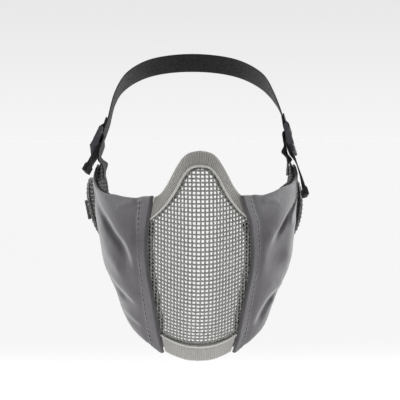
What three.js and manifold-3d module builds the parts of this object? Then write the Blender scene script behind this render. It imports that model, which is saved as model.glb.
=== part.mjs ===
// A half-face mesh mask in its worn form: a stiff wire mesh front, fabric cheeks with a dark lining,
// wire ear guards, and a strap round the back of the head through two ladder-lock buckles.
// Millimetres, +Z up. The mask faces -Y. The origin is inside the nose binding, on the nose bridge.
import * as THREE from 'three';
import { mergeVertices } from 'three/addons/utils/BufferGeometryUtils.js';
import Module from 'manifold-3d';

const wasm = await Module();
wasm.setup();

// ---------- driving dimensions ----------

const GAP = 0.3;

const RIDGE_RADIUS = 20;
const FLANK_ANGLE = THREE.MathUtils.degToRad(42);
const WIDEST_HALF = 37.8;

const MESH_THICKNESS = 1.4;
const MESH_UNDER_HEM = 4;
const MESH_EDGE_IN = 1.8;

const TAPE_THICKNESS = 0.9;
const TAPE_PARTS = 3;
const TAPE_GAP = 0.5;

const FABRIC_THICKNESS = 2;
const HEM_WIDTH = 7;
const HEM_EXTRA = 0.8;
const HEM_CLEARANCE = 0.45;
const LINING_THICKNESS = 1.3;
const LINING_GAP = 1.4;
const LINING_SHOWS = 0.006;
const LINING_END = 0.63;

const EAR = { y: 105, z: -46.3, halfLength: 31, halfHeight: 24, leanY: -0.14 };

const PATCH = { y: 97, z: -46.7, length: 22, height: 15, base: 1, border: 1.6, lip: 0.6 };

const WEBBING_WIDTH = 15;
const WEBBING_THICKNESS = 1.1;
const FOLDED_END = { length: 6.5, thickness: 3.6 };

const RAIL_THICKNESS = 2.4;
const RAIL_CLEARANCE = 0.3;

// ---------- tables: one row per section, all in millimetres ----------

// The middle line of the mask's front: depth y at height z, and how far a wire row climbs
// between the middle and the widest half-width.
const MIDDLE_LINE = [
  { z: 6, y: 3.1, climb: 0 },
  { z: 0, y: 0, climb: 0 },
  { z: -13, y: -6.6, climb: 0 },
  { z: -30, y: -14, climb: 2.5 },
  { z: -55, y: -18, climb: 5.6 },
  { z: -80, y: -15.8, climb: 8 },
  { z: -109.5, y: -6.2, climb: 10 },
  { z: -128, y: 3.8, climb: 9.5 },
  { z: -142, y: 14, climb: 8.8 },
  { z: -154, y: 25, climb: 8.8 },
  { z: -166, y: 37, climb: 8.8 },
];

// Half-width of the front where the cheek's hem begins.
const HEM_LINE = [
  { z: -34, x: 32.1 },
  { z: -49, x: 34.2 },
  { z: -57, x: 36 },
  { z: -66, x: 37.3 },
  { z: -73, x: 37.8 },
  { z: -82, x: 37.3 },
  { z: -93, x: 36 },
  { z: -109, x: 33.1 },
  { z: -125, x: 30.8 },
  { z: -147, x: 26.3 },
];

// The nose tape from the middle to one side: its folded edge and its free edge.
const NOSE_TAPE = [
  { foldX: 0, foldZ: -0.6, freeX: 0, freeZ: -12.9 },
  { foldX: 7.1, foldZ: -2, freeX: 4.7, freeZ: -13.7 },
  { foldX: 11.3, foldZ: -4.8, freeX: 7.7, freeZ: -15.8 },
  { foldX: 15.3, foldZ: -10.2, freeX: 10.9, freeZ: -20.2 },
  { foldX: 19.7, foldZ: -18, freeX: 14.2, freeZ: -26.6 },
  { foldX: 24, foldZ: -26, freeX: 18, freeZ: -33.2 },
  { foldX: 27.6, foldZ: -31, freeX: 22.6, freeZ: -39.6 },
  { foldX: 29.8, foldZ: -33, freeX: 27.6, freeZ: -44.8 },
  { foldX: 31.6, foldZ: -34, freeX: 33.6, freeZ: -49.2 },
];

// The chin tape from the middle to one side.
const CHIN_TAPE = [
  { foldX: 0, foldZ: -154.4, freeX: 0, freeZ: -144 },
  { foldX: 9, foldZ: -153.8, freeX: 10, freeZ: -143.2 },
  { foldX: 18, foldZ: -151.3, freeX: 20, freeZ: -140.4 },
  { foldX: 25.8, foldZ: -147.4, freeX: 28.7, freeZ: -135.6 },
];

// Cheek sections, top to bottom. Each runs back from the hem along the front's flank to the rear
// edge, where it arrives turned in by an angle in degrees. Reach is how far the curve holds each
// direction, and lift is how far it has climbed there. Both sways move it towards +x on either
// cheek, because the worn mask doesn't sit quite evenly.
const CHEEK = [
  { frontZ: -34, frontReach: 40, frontLift: -4, rearX: 76.5, rearY: 90, rearZ: -11.5,
    rearReach: 32, rearLift: -19, turnIn: 8, sway: 0, rearSway: 0 },
  { frontZ: -44, frontReach: 44, frontLift: 1, rearX: 73.8, rearY: 99, rearZ: -27,
    rearReach: 36, rearLift: -8, turnIn: 18, sway: -2.3, rearSway: 1.4 },
  { frontZ: -58, frontReach: 45, frontLift: 3, rearX: 72.4, rearY: 101, rearZ: -45,
    rearReach: 36, rearLift: -4, turnIn: 17.5, sway: -3.1, rearSway: 1.4 },
  { frontZ: -76, frontReach: 42, frontLift: 3, rearX: 71, rearY: 97, rearZ: -66,
    rearReach: 32, rearLift: -3, turnIn: 12, sway: -2.2, rearSway: 1.4 },
  { frontZ: -94, frontReach: 36, frontLift: 2, rearX: 64.8, rearY: 90, rearZ: -87,
    rearReach: 26, rearLift: -3, turnIn: 22, sway: 2, rearSway: 1 },
  { frontZ: -111, frontReach: 28, frontLift: 2, rearX: 57.2, rearY: 80, rearZ: -106.5,
    rearReach: 20, rearLift: -3, turnIn: 17, sway: 2.8, rearSway: 0 },
  { frontZ: -125, frontReach: 20, frontLift: 1.5, rearX: 54.8, rearY: 70, rearZ: -121.5,
    rearReach: 14, rearLift: -3, turnIn: 12, sway: 0, rearSway: 0 },
  { frontZ: -136, frontReach: 12, frontLift: 1, rearX: 49.4, rearY: 60, rearZ: -133.5,
    rearReach: 9, rearLift: -2.5, turnIn: 10, sway: 0, rearSway: 0 },
  { frontZ: -142.5, frontReach: 7, frontLift: 0.7, rearX: 40.2, rearY: 51, rearZ: -141.3,
    rearReach: 5, rearLift: -1.8, turnIn: 8, sway: 0, rearSway: 0 },
  { frontZ: -147, frontReach: 2.5, frontLift: 0.2, rearX: 31.5, rearY: 44.5, rearZ: -147,
    rearReach: 2, rearLift: -0.6, turnIn: 5, sway: 0, rearSway: 0 },
];

// How far down the cheek its top corner reaches, as a share of its height.
const CORNER_FADE = 0.08;

// Folds of the cheek fabric, seen from the front: a ridge (rise over 0) or a valley (under 0) along
// a line from (x0, z0) to (x1, z1), fading over its width.
const FOLDS = [
  { side: -1, x0: -79, z0: -28, x1: -70, z1: -54, width: 3.2, rise: 1.6 },
  { side: -1, x0: -70, z0: -54, x1: -52, z1: -78, width: 3.4, rise: 1.5 },
  { side: -1, x0: -76, z0: -46, x1: -58, z1: -78, width: 2.6, rise: -1.3 },
  { side: -1, x0: -64, z0: -98, x1: -50, z1: -112, width: 2.8, rise: 1.1 },
  { side: -1, x0: -60, z0: -106, x1: -48, z1: -118, width: 2.4, rise: -0.9 },
  { side: -1, x0: -53, z0: -123, x1: -40, z1: -131, width: 2.4, rise: 0.8 },
  { side: 1, x0: 76, z0: -30, x1: 64, z1: -50, width: 3.2, rise: 1.6 },
  { side: 1, x0: 64, z0: -50, x1: 54, z1: -68, width: 3.4, rise: 1.4 },
  { side: 1, x0: 73, z0: -40, x1: 65, z1: -54, width: 2.4, rise: -1.1 },
  { side: 1, x0: 75, z0: -36, x1: 69, z1: -58, width: 2.2, rise: 1 },
  { side: 1, x0: 62, z0: -101, x1: 48, z1: -116, width: 2.8, rise: 1.1 },
  { side: 1, x0: 57, z0: -110, x1: 44, z1: -130, width: 2.6, rise: -0.9 },
];

// The outline of one buckle rail, across its length (u) and outward (n).
const RAIL_OUTLINE = [
  { u: 9.6, n: -0.9 }, { u: 9.8, n: 0.6 }, { u: 9, n: 1.5 }, { u: 5, n: 2.2 }, { u: 0, n: 2.7 },
  { u: -5, n: 3.2 }, { u: -9.4, n: 4 }, { u: -10.4, n: 3.2 }, { u: -9.6, n: 0.4 },
  { u: -8.2, n: -1.1 }, { u: -4, n: -1.5 }, { u: 4, n: -1.5 }, { u: 8.6, n: -1.4 },
];

// The lip under which the free tail leaves, as an outline of the same kind.
const LIP_OUTLINE = [
  { u: -5.2, n: -1.2 }, { u: -4.9, n: 0.8 }, { u: -6, n: 2.6 }, { u: -9, n: 4 },
  { u: -10.2, n: 3.4 }, { u: -9.3, n: 0.6 }, { u: -8.4, n: -1.2 },
];

const CENTRE_BAR = [
  { u: 0.2, n: -0.8 }, { u: 0.2, n: 0.8 }, { u: 0.6, n: 1.2 }, { u: 1.8, n: 1.2 },
  { u: 2.2, n: 0.8 }, { u: 2.2, n: -0.8 }, { u: 1.8, n: -1.2 }, { u: 0.6, n: -1.2 },
];

const TOP_BAR = { u: 8.1, n: 0, radius: 1.1, sides: 10 };

// Each side's cheek corner (how far the top section's two inner control points are pulled), its ear
// guard, its buckle (centre and the way up along the strap), how far the sewn webbing stands in from
// the lining, and the free tail beyond the lip.
const SIDES = [
  {
    name: 'left', sign: -1, corner: [[-2, 0, 2], [6.5, 0, -5.5]],
    ear: { x: 76.3, leanZ: 0.19, dome: 5.3 },
    facing: 0.03, sag: 2.9, buckle: [-75.8, 88.4, 5.2], up: [0.28, 0.48, 0.83],
    tail: [[-79.6, 83, -7.4], [-82.4, 81.5, -11.4], [-85.8, 80.5, -17.6]],
  },
  {
    name: 'right', sign: 1, corner: [[0, 0, 4.5], [1.5, 0, 4]],
    ear: { x: 75.4, leanZ: 0.09, dome: 5.9 },
    facing: -0.25, sag: 2.4, buckle: [72.4, 89, 7.8], up: [-0.1, 0.48, 0.87],
    tail: [[76.8, 81.6, -6.5], [80, 77.2, -16], [83, 72.2, -26], [85.8, 69.8, -36]],
  },
];

// Where the webbing is sewn inside the cheek, as the cheek's own (u, v), from its end to the top edge.
const SEWN_AT = [{ u: 0.88, v: 0.08 }, { u: 0.88, v: -0.03 }];

// Half of the head strap's route, from beside the ear to the back of the head, with the way out
// from the head at each point.
const STRAP_ROUTE = [
  { x: 63.6, y: 117, z: 40, outX: 0.94, outY: 0.2, outZ: 0.28 },
  { x: 54.5, y: 145, z: 55, outX: 0.8, outY: 0.5, outZ: 0.33 },
  { x: 36, y: 171, z: 66, outX: 0.52, outY: 0.78, outZ: 0.34 },
  { x: 12.5, y: 185, z: 70.6, outX: 0.18, outY: 0.92, outZ: 0.34 },
];

// ---------- small helpers ----------

const vector = (x, y, z) => new THREE.Vector3(x, y, z);

// Value of one column at a key, on a smooth curve through the rows, straight beyond the ends.
function lookUp(rows, keyName, valueName, key) {
  const sign = rows[0][keyName] < rows[rows.length - 1][keyName] ? 1 : -1;
  let row = 0;
  while (row < rows.length - 2 && sign * key > sign * rows[row + 1][keyName]) row += 1;
  const slope = (a, b) =>
    (rows[b][valueName] - rows[a][valueName]) / (rows[b][keyName] - rows[a][keyName]);
  const tangent = (i) => slope(Math.max(i - 1, 0), Math.min(i + 1, rows.length - 1));
  const [start, end] = [rows[row], rows[row + 1]];
  const span = end[keyName] - start[keyName];
  const t = (key - start[keyName]) / span;
  if (t < 0) return start[valueName] + slope(row, row + 1) * (key - start[keyName]);
  if (t > 1) return end[valueName] + slope(row, row + 1) * (key - end[keyName]);
  return (
    (2 * t ** 3 - 3 * t ** 2 + 1) * start[valueName] +
    (t ** 3 - 2 * t ** 2 + t) * span * tangent(row) +
    (3 * t ** 2 - 2 * t ** 3) * end[valueName] +
    (t ** 3 - t ** 2) * span * tangent(row + 1)
  );
}

const withStations = (rows) => rows.map((row, i) => ({ ...row, station: i / (rows.length - 1) }));

const steps = (count, from = 0, to = 1) =>
  Array.from({ length: count + 1 }, (unused, i) => from + ((to - from) * i) / count);

// A closed mesh from equal rings of points, capped at both ends by the listed quads of a ring.
function sweep(rings, capQuads) {
  const size = rings[0].length;
  const points = rings.flat();
  const index = [];
  for (let r = 0; r + 1 < rings.length; r++) {
    for (let k = 0; k < size; k++) {
      const a = r * size + k;
      const b = r * size + ((k + 1) % size);
      index.push(a, b, b + size, a, b + size, a + size);
    }
  }
  const last = (rings.length - 1) * size;
  for (const [a, b, c, d] of capQuads) {
    index.push(c, b, a, d, c, a);
    index.push(last + a, last + b, last + c, last + a, last + c, last + d);
  }
  let volume = 0;
  for (let i = 0; i < index.length; i += 3) {
    const [p, q, r] = [points[index[i]], points[index[i + 1]], points[index[i + 2]]];
    volume += p.dot(q.clone().cross(r));
  }
  if (volume < 0) index.reverse();
  const geometry = new THREE.BufferGeometry();
  const numbers = points.flatMap((p) => p.toArray());
  geometry.setAttribute('position', new THREE.Float32BufferAttribute(numbers, 3));
  geometry.setIndex(index);
  return geometry;
}

// A thin wall on a surface point(u, v), between two offsets along its outward normal.
function wall(point, us, vs, outward, offsets) {
  const tiny = 1e-3;
  const normalAt = (u, v) => {
    const alongU = point(u + tiny, v).sub(point(u - tiny, v));
    const alongV = point(u, v + tiny).sub(point(u, v - tiny));
    const normal = alongU.cross(alongV).normalize();
    return normal.dot(outward) < 0 ? normal.negate() : normal;
  };
  const rings = vs.map((v) => {
    const outer = [];
    const inner = [];
    for (const u of us) {
      const normal = normalAt(u, v);
      const [low, high] = offsets(u, v);
      outer.push(point(u, v).addScaledVector(normal, high));
      inner.unshift(point(u, v).addScaledVector(normal, low));
    }
    return [...outer, ...inner];
  });
  const last = 2 * us.length - 1;
  const caps = steps(us.length - 2, 0, us.length - 2).map((k) => [k, k + 1, last - k - 1, last - k]);
  return sweep(rings, caps);
}

// A flat strap along stations, each with a point, the way across it and a thickness.
function strap(stations, width) {
  const rings = stations.map(({ at, across, thickness }, i) => {
    const before = stations[Math.max(i - 1, 0)].at;
    const after = stations[Math.min(i + 1, stations.length - 1)].at;
    const along = after.clone().sub(before).normalize();
    const side = across.clone().addScaledVector(along, -across.dot(along)).normalize();
    const normal = along.clone().cross(side);
    const corner = (s, n) =>
      at.clone().addScaledVector(side, (s * width) / 2).addScaledVector(normal, (n * thickness) / 2);
    return [corner(1, 1), corner(-1, 1), corner(-1, -1), corner(1, -1)];
  });
  return sweep(rings, [[0, 1, 2, 3]]);
}

function toSolid(geometry) {
  const bare = geometry.clone();
  bare.deleteAttribute('normal');
  bare.deleteAttribute('uv');
  const merged = mergeVertices(bare);
  return new wasm.Manifold(new wasm.Mesh({
    numProp: 3,
    vertProperties: new Float32Array(merged.attributes.position.array),
    triVerts: new Uint32Array(merged.index.array),
  }));
}

function toGeometry(solid) {
  const mesh = solid.getMesh();
  const geometry = new THREE.BufferGeometry();
  geometry.setAttribute('position', new THREE.BufferAttribute(mesh.vertProperties, 3));
  geometry.setIndex(new THREE.BufferAttribute(mesh.triVerts, 1));
  return geometry;
}

const finish = (color, roughness, metalness = 0) =>
  new THREE.MeshStandardMaterial({ color, roughness, metalness });

const mask = new THREE.Group();

function place(name, geometry, material) {
  const mesh = new THREE.Mesh(geometry, material);
  mesh.name = name;
  mask.add(mesh);
  return mesh;
}

// ---------- the mask's front surface ----------

// Depth behind the ridge at half-width x: an arc of the ridge radius, then a straight flank.
function behindRidge(x) {
  const arcHalf = RIDGE_RADIUS * Math.sin(FLANK_ANGLE);
  const width = Math.abs(x);
  if (width < arcHalf) return RIDGE_RADIUS - Math.sqrt(RIDGE_RADIUS ** 2 - width ** 2);
  return RIDGE_RADIUS * (1 - Math.cos(FLANK_ANGLE)) + (width - arcHalf) * Math.tan(FLANK_ANGLE);
}

function frontPoint(x, z) {
  const climb = lookUp(MIDDLE_LINE, 'z', 'climb', z) * (x / WIDEST_HALF) ** 2;
  return vector(x, lookUp(MIDDLE_LINE, 'z', 'y', z - climb) + behindRidge(x), z);
}

function frontNormal(x, z) {
  const tiny = 1e-3;
  const alongX = frontPoint(x + tiny, z).sub(frontPoint(x - tiny, z));
  const alongZ = frontPoint(x, z + tiny).sub(frontPoint(x, z - tiny));
  return alongX.cross(alongZ).normalize();
}

// Height at half-width x of a line that runs a distance inside a tape's folded edge.
function edgeHeight(tape, x, inside) {
  const height = (width) => lookUp(tape, 'foldX', 'foldZ', Math.abs(width));
  return height(x) + inside * Math.hypot(1, height(x + 0.5) - height(x - 0.5));
}

function meshPanel() {
  const archHalf = NOSE_TAPE[NOSE_TAPE.length - 1].foldX;
  const chinHalf = CHIN_TAPE[CHIN_TAPE.length - 1].foldX + MESH_UNDER_HEM;
  const shoulder = NOSE_TAPE[NOSE_TAPE.length - 1].foldZ - MESH_EDGE_IN;
  const point = (u, v) => {
    const topX = u * (archHalf + MESH_UNDER_HEM);
    const onArch = Math.abs(topX) < archHalf;
    const top = onArch ? edgeHeight(NOSE_TAPE, topX, -MESH_EDGE_IN) : shoulder;
    const bottom = edgeHeight(CHIN_TAPE, u * chinHalf, MESH_EDGE_IN);
    const z = top + (bottom - top) * v;
    const half = lookUp(HEM_LINE, 'z', 'x', Math.min(z, HEM_LINE[0].z)) + MESH_UNDER_HEM;
    return frontPoint(u * half, z);
  };
  const offset = MESH_THICKNESS / 2;
  return wall(point, steps(18, -1, 1), steps(20, 0, 1), vector(0, -1, 0), () => [-offset, offset]);
}

// Tape folded over an edge of the front: a front leaf and a back leaf joined outside the edge.
function foldedTape(rows, count) {
  const table = withStations(rows);
  const near = MESH_THICKNESS / 2 + TAPE_GAP;
  const far = near + TAPE_THICKNESS;
  const parts = steps(TAPE_PARTS);
  const rings = steps(2 * count, -1, 1).map((s) => {
    const at = (name) => lookUp(table, 'station', name, Math.abs(s));
    const mirror = Math.sign(s) || 1;
    const fold = vector(mirror * at('foldX'), 0, at('foldZ'));
    const free = vector(mirror * at('freeX'), 0, at('freeZ'));
    const leaf = (height, inset) => {
      const start = fold.clone().addScaledVector(free.clone().sub(fold).normalize(), inset);
      return parts.map((part) => {
        const flat = start.clone().lerp(free, part);
        return frontPoint(flat.x, flat.z).addScaledVector(frontNormal(flat.x, flat.z), height);
      });
    };
    const inset = TAPE_THICKNESS;
    return [
      ...leaf(far, 0), ...leaf(near, inset).reverse(), ...leaf(-near, inset), ...leaf(-far, 0).reverse(),
    ];
  });
  const front = (k) => [k, 2 * TAPE_PARTS + 1 - k];
  const back = (k) => [2 * TAPE_PARTS + 2 + k, 4 * TAPE_PARTS + 3 - k];
  const cells = steps(TAPE_PARTS - 1, 0, TAPE_PARTS - 1);
  const leafCells = (side) => cells.map((k) => [side(k)[0], side(k + 1)[0], side(k + 1)[1], side(k)[1]]);
  return sweep(rings, [...leafCells(front), [...front(0), ...back(0)], ...leafCells(back)]);
}

// ---------- cheeks ----------

const CHEEK_TABLE = withStations(CHEEK);

// How far the folds lift the fabric at a place in the front view. Each fold is a smooth bump across
// its line, and fades at the line's ends.
function foldRise(sign, x, z) {
  let rise = 0;
  for (const fold of FOLDS.filter((row) => row.side === sign)) {
    const [dx, dz] = [fold.x1 - fold.x0, fold.z1 - fold.z0];
    const length = Math.hypot(dx, dz);
    const along = ((x - fold.x0) * dx + (z - fold.z0) * dz) / length ** 2;
    const away = ((x - fold.x0) * dz - (z - fold.z0) * dx) / length;
    const ends = 1 / (1 + Math.exp(-14 * along)) / (1 + Math.exp(14 * (along - 1)));
    rise += fold.rise * Math.exp(-((away / fold.width) ** 2)) * ends;
  }
  return rise;
}

// The cheek's middle surface: u runs from the hem to the rear edge, v from top to bottom.
function cheekBase(side, u, v) {
  const at = (name) => lookUp(CHEEK_TABLE, 'station', name, v);
  const hem = frontPoint(lookUp(HEM_LINE, 'z', 'x', at('frontZ')) + GAP, at('frontZ'));
  hem.addScaledVector(frontNormal(hem.x, hem.z), (MESH_THICKNESS + FABRIC_THICKNESS) / 2 + HEM_CLEARANCE);
  const turn = THREE.MathUtils.degToRad(at('turnIn'));
  const flank = vector(Math.cos(FLANK_ANGLE), Math.sin(FLANK_ANGLE), 0);
  const rear = vector(at('rearX'), at('rearY'), at('rearZ'));
  const first = hem.clone().addScaledVector(flank, at('frontReach'));
  first.z += at('frontLift');
  const second = rear.clone().addScaledVector(vector(Math.sin(turn), -Math.cos(turn), 0), at('rearReach'));
  second.add(vector(side.sign * at('sway'), 0, at('rearLift')));
  rear.x += side.sign * at('rearSway');
  const pull = Math.exp(-((v / CORNER_FADE) ** 2));
  first.addScaledVector(vector(...side.corner[0]), pull);
  second.addScaledVector(vector(...side.corner[1]), pull);
  const point = new THREE.CubicBezierCurve3(hem, first, second, rear).getPoint(u);
  point.x *= side.sign;
  return point;
}

function cheekPoint(side) {
  const tiny = 1e-3;
  return (u, v) => {
    const point = cheekBase(side, u, v);
    const alongU = cheekBase(side, u + tiny, v).sub(cheekBase(side, u - tiny, v));
    const alongV = cheekBase(side, u, v + tiny).sub(cheekBase(side, u, v - tiny));
    const normal = alongU.cross(alongV).normalize();
    if (normal.x * side.sign < 0) normal.negate();
    return point.addScaledVector(normal, foldRise(side.sign, point.x, point.z));
  };
}

// The panel and its lining share these stations, so their facets stay apart.
const CHEEK_US = [0, 0.05, 0.09, 0.11, ...steps(14, 0.16, 1)];
const CHEEK_VS = steps(20);

function cheekPanel(side) {
  const point = cheekPoint(side);
  const half = FABRIC_THICKNESS / 2;
  const hemEnd = (v) => HEM_WIDTH / cheekBase(side, 0, v).distanceTo(cheekBase(side, 1, v));
  const offsets = (u, v) => [-half, half + (u < hemEnd(Math.min(v, 0.8)) ? HEM_EXTRA : 0)];
  return wall(point, CHEEK_US, CHEEK_VS, vector(side.sign, 0, 0), offsets);
}

function cheekLining(side) {
  const top = -(FABRIC_THICKNESS / 2 + LINING_GAP);
  const us = CHEEK_US.filter((u) => u > 0.3);
  const vs = [-LINING_SHOWS, ...CHEEK_VS.filter((v) => v < LINING_END)];
  const offsets = () => [top - LINING_THICKNESS, top];
  return wall((u, v) => cheekBase(side, u, v), us, vs, vector(side.sign, 0, 0), offsets);
}

// ---------- ears ----------

// A square stretched onto a disc: (u, v) in -1..1 to a point of the unit disc.
const onDisc = (u, v) => [u * Math.sqrt(1 - (v * v) / 2), v * Math.sqrt(1 - (u * u) / 2)];

function earPoint({ sign, ear }) {
  return (u, v) => {
    const [across, up] = onDisc(u, v);
    const y = EAR.halfLength * across;
    const z = EAR.halfHeight * up;
    const dome = ear.dome * (1 - across ** 2 - up ** 2);
    return vector(sign * (ear.x + ear.leanZ * z + EAR.leanY * y + dome), EAR.y + y, EAR.z + z);
  };
}

function earGuard(side) {
  const offset = MESH_THICKNESS / 2;
  const outward = vector(side.sign, 0, 0);
  return wall(earPoint(side), steps(10, -1, 1), steps(10, -1, 1), outward, () => [-offset, offset]);
}

// A slab with a raised border, lying on a guard at its own height and depth.
function earPatch(side) {
  const block = (length, height, depth, from) =>
    toSolid(new THREE.BoxGeometry(length, height, depth).translate(0, 0, from + depth / 2));
  const full = block(PATCH.length, PATCH.height, PATCH.base + PATCH.lip, 0);
  const recess = [PATCH.length, PATCH.height].map((size) => size - 2 * PATCH.border);
  const geometry = toGeometry(full.subtract(block(...recess, 2 * PATCH.lip, PATCH.base)));
  const { x, leanZ, dome } = side.ear;
  const [y, z] = [PATCH.y - EAR.y, PATCH.z - EAR.z];
  const [across, up] = [y / EAR.halfLength, z / EAR.halfHeight];
  const slopeY = EAR.leanY - (2 * dome * across) / EAR.halfLength;
  const slopeZ = leanZ - (2 * dome * up) / EAR.halfHeight;
  const outward = vector(side.sign, -slopeY, -slopeZ).normalize();
  const upward = vector(0, 0, 1).addScaledVector(outward, -outward.z).normalize();
  const basis = new THREE.Matrix4().makeBasis(upward.clone().cross(outward), upward, outward);
  const reach = x + EAR.leanY * y + leanZ * z + dome * (1 - across ** 2 - up ** 2);
  const seat = vector(side.sign * reach, PATCH.y, PATCH.z);
  return geometry.applyMatrix4(basis.setPosition(seat.addScaledVector(outward, MESH_THICKNESS / 2 + GAP)));
}

// ---------- buckles and straps ----------

// A side's buckle frame: a point and directions from lengths up the strap (u) and outward (n).
function buckleFrame({ sign, facing, buckle, up }) {
  const alongStrap = vector(...up).normalize();
  const outward = vector(sign, facing, 0);
  outward.addScaledVector(alongStrap, -outward.dot(alongStrap)).normalize();
  const across = alongStrap.clone().cross(outward);
  const centre = vector(...buckle);
  const point = (u, n) => centre.clone().addScaledVector(alongStrap, u).addScaledVector(outward, n);
  return { alongStrap, outward, across, centre, point };
}

function buckle(side) {
  const frame = buckleFrame(side);
  const innerHalf = WEBBING_WIDTH / 2 + RAIL_CLEARANCE;
  const outerHalf = innerHalf + RAIL_THICKNESS;
  const bar = (outline, from, to) => {
    const shape = new THREE.Shape(outline.map(({ u, n }) => new THREE.Vector2(u, n)));
    const geometry = new THREE.ExtrudeGeometry(shape, { depth: to - from, bevelEnabled: false });
    return toSolid(geometry.translate(0, 0, from));
  };
  const round = steps(TOP_BAR.sides - 1, 0, TOP_BAR.sides - 1).map((k) => {
    const angle = (2 * Math.PI * k) / TOP_BAR.sides;
    return {
      u: TOP_BAR.u + TOP_BAR.radius * Math.cos(angle),
      n: TOP_BAR.n + TOP_BAR.radius * Math.sin(angle),
    };
  });
  const solid = bar(RAIL_OUTLINE, innerHalf, outerHalf)
    .add(bar(RAIL_OUTLINE, -outerHalf, -innerHalf))
    .add(bar(LIP_OUTLINE, -innerHalf - 1, innerHalf + 1))
    .add(bar(CENTRE_BAR, -innerHalf - 1, innerHalf + 1))
    .add(bar(round, -innerHalf - 1, innerHalf + 1));
  const basis = new THREE.Matrix4().makeBasis(frame.alongStrap, frame.outward, frame.across);
  return toGeometry(solid).applyMatrix4(basis.setPosition(frame.centre));
}

// Points of an arc in a buckle's (u, n) plane, from one angle to another in degrees.
function arc(frame, u, n, radius, from, to, count) {
  return steps(count, from, to).map((degrees) => {
    const angle = THREE.MathUtils.degToRad(degrees);
    return frame.point(u + radius * Math.cos(angle), n + radius * Math.sin(angle));
  });
}

// Stations on a smooth curve through points, with the listed number in each stretch between two.
function stationsThrough(points, counts, acrossAt, thicknessAt = () => WEBBING_THICKNESS) {
  const curve = new THREE.CatmullRomCurve3(points, false, 'centripetal');
  const stretches = points.length - 1;
  const ts = [0];
  for (let k = 0; k < stretches; k++) {
    for (const part of steps(counts(k)).slice(1)) ts.push((k + part) / stretches);
  }
  const ats = ts.map((t) => curve.getPoint(t));
  let left = 0;
  const toEnd = ats.map(() => 0);
  for (let i = ats.length - 2; i >= 0; i--) {
    left += ats[i].distanceTo(ats[i + 1]);
    toEnd[i] = left;
  }
  return ats.map((at, i) => ({
    at,
    across: acrossAt(at, curve.getTangent(ts[i]), i),
    thickness: thicknessAt(toEnd[i]),
  }));
}

// From inside the cheek up behind the buckle, over its centre bar, down under the lip and out.
function adjusterWebbing(side) {
  const frame = buckleFrame(side);
  const { point } = frame;
  const cheek = (u, v) => cheekBase(side, u, v);
  const layers = FABRIC_THICKNESS / 2 + LINING_GAP + LINING_THICKNESS;
  const inset = layers + GAP + side.sag + WEBBING_THICKNESS / 2;
  const alongCheek = (u, v) => cheek(u + 0.05, v).sub(cheek(u - 0.05, v)).normalize();
  const sewn = SEWN_AT.map(({ u, v }) => {
    const downCheek = cheek(u, v + 0.05).sub(cheek(u, v - 0.05)).normalize();
    const inward = alongCheek(u, v).cross(downCheek).normalize();
    if (inward.x * side.sign > 0) inward.negate();
    return cheek(u, v).addScaledVector(inward, inset);
  });
  const points = [
    ...sewn,
    point(-9.6, -3.75), point(-5, -3.75), point(-1, -3.75),
    ...arc(frame, 1.2, -0.7, 3.05, -90, 90, 6),
    point(-0.2, 2.3), point(-1.6, 1.2), point(-2.6, -0.5), point(-3.8, -1.9),
    point(-5.4, -2.35), point(-7.4, -2.35), point(-9.2, -2.3),
    ...side.tail.map((p) => vector(...p)),
  ];
  const flat = alongCheek(SEWN_AT[0].u, SEWN_AT[0].v);
  if (flat.dot(frame.across) < 0) flat.negate();
  const clear = point(-9, 0).z;
  const acrossAt = (at, along, i) => {
    const held = i < 12 ? THREE.MathUtils.smoothstep(at.z, sewn[1].z + 2, clear) : 1;
    return flat.clone().lerp(frame.across, held);
  };
  const thicknessAt = (toEnd) => (toEnd < FOLDED_END.length ? FOLDED_END.thickness : WEBBING_THICKNESS);
  return strap(stationsThrough(points, () => 2, acrossAt, thicknessAt), WEBBING_WIDTH);
}

// One end of the head strap: a sewn stub, the turn round the top bar, and the way up.
function strapEnd(frame) {
  const { point } = frame;
  return [
    point(19.5, -0.7), point(16, -0.7), point(13.4, -0.6), point(11.4, 0.9), point(9.6, 2),
    ...arc(frame, TOP_BAR.u - 0.45, 0, 2, 90, 270, 6).slice(1),
    point(10, -2.1), point(13, -2.1), point(16, -2.1), point(20, -2.1),
  ];
}

function headStrap() {
  const frames = SIDES.map(buckleFrame);
  const ends = frames.map(strapEnd);
  const half = (sign) => STRAP_ROUTE.map(({ x, y, z }) => vector(sign * x, y, z));
  const points = [...ends[0], ...half(-1), ...half(1).reverse(), ...ends[1].reverse()];
  const first = ends[0].length - 1;
  const last = points.length - 1 - ends[1].length;
  const byWidth = [...STRAP_ROUTE].reverse();
  const acrossAt = (at, along) => {
    const side = at.x < 0 ? 0 : 1;
    const out = (name) => lookUp(byWidth, 'x', name, Math.abs(at.x));
    const free = vector(Math.sign(at.x) * out('outX'), out('outY'), out('outZ')).cross(along).negate();
    const held = frames[side].across.clone().multiplyScalar(side === 0 ? 1 : -1);
    if (held.dot(free) < 0) held.negate();
    const blend = THREE.MathUtils.smoothstep(at.y, frames[side].point(20, 0).y, STRAP_ROUTE[1].y);
    return held.lerp(free.normalize(), blend).normalize();
  };
  const counts = (k) => (k >= first && k <= last ? 6 : 2);
  return strap(stationsThrough(points, counts, acrossAt), WEBBING_WIDTH);
}

// ---------- the assembly ----------

const WIRE = finish(0x8a8c86, 0.45, 0.6);
const TAPE = finish(0x9c9a94, 0.85);
const FABRIC = finish(0x6a696d, 0.75);
const LINING = finish(0x3a3a3c, 0.9);
const WEBBING = finish(0x28282a, 0.8);
const PLASTIC = finish(0x4a4b4f, 0.35);
const PATCH_RUBBER = finish(0x4c4e48, 0.6);

place('mesh_panel', meshPanel(), WIRE);
place('nose_binding', foldedTape(NOSE_TAPE, 14), TAPE);
place('chin_binding', foldedTape(CHIN_TAPE, 7), TAPE);

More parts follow.
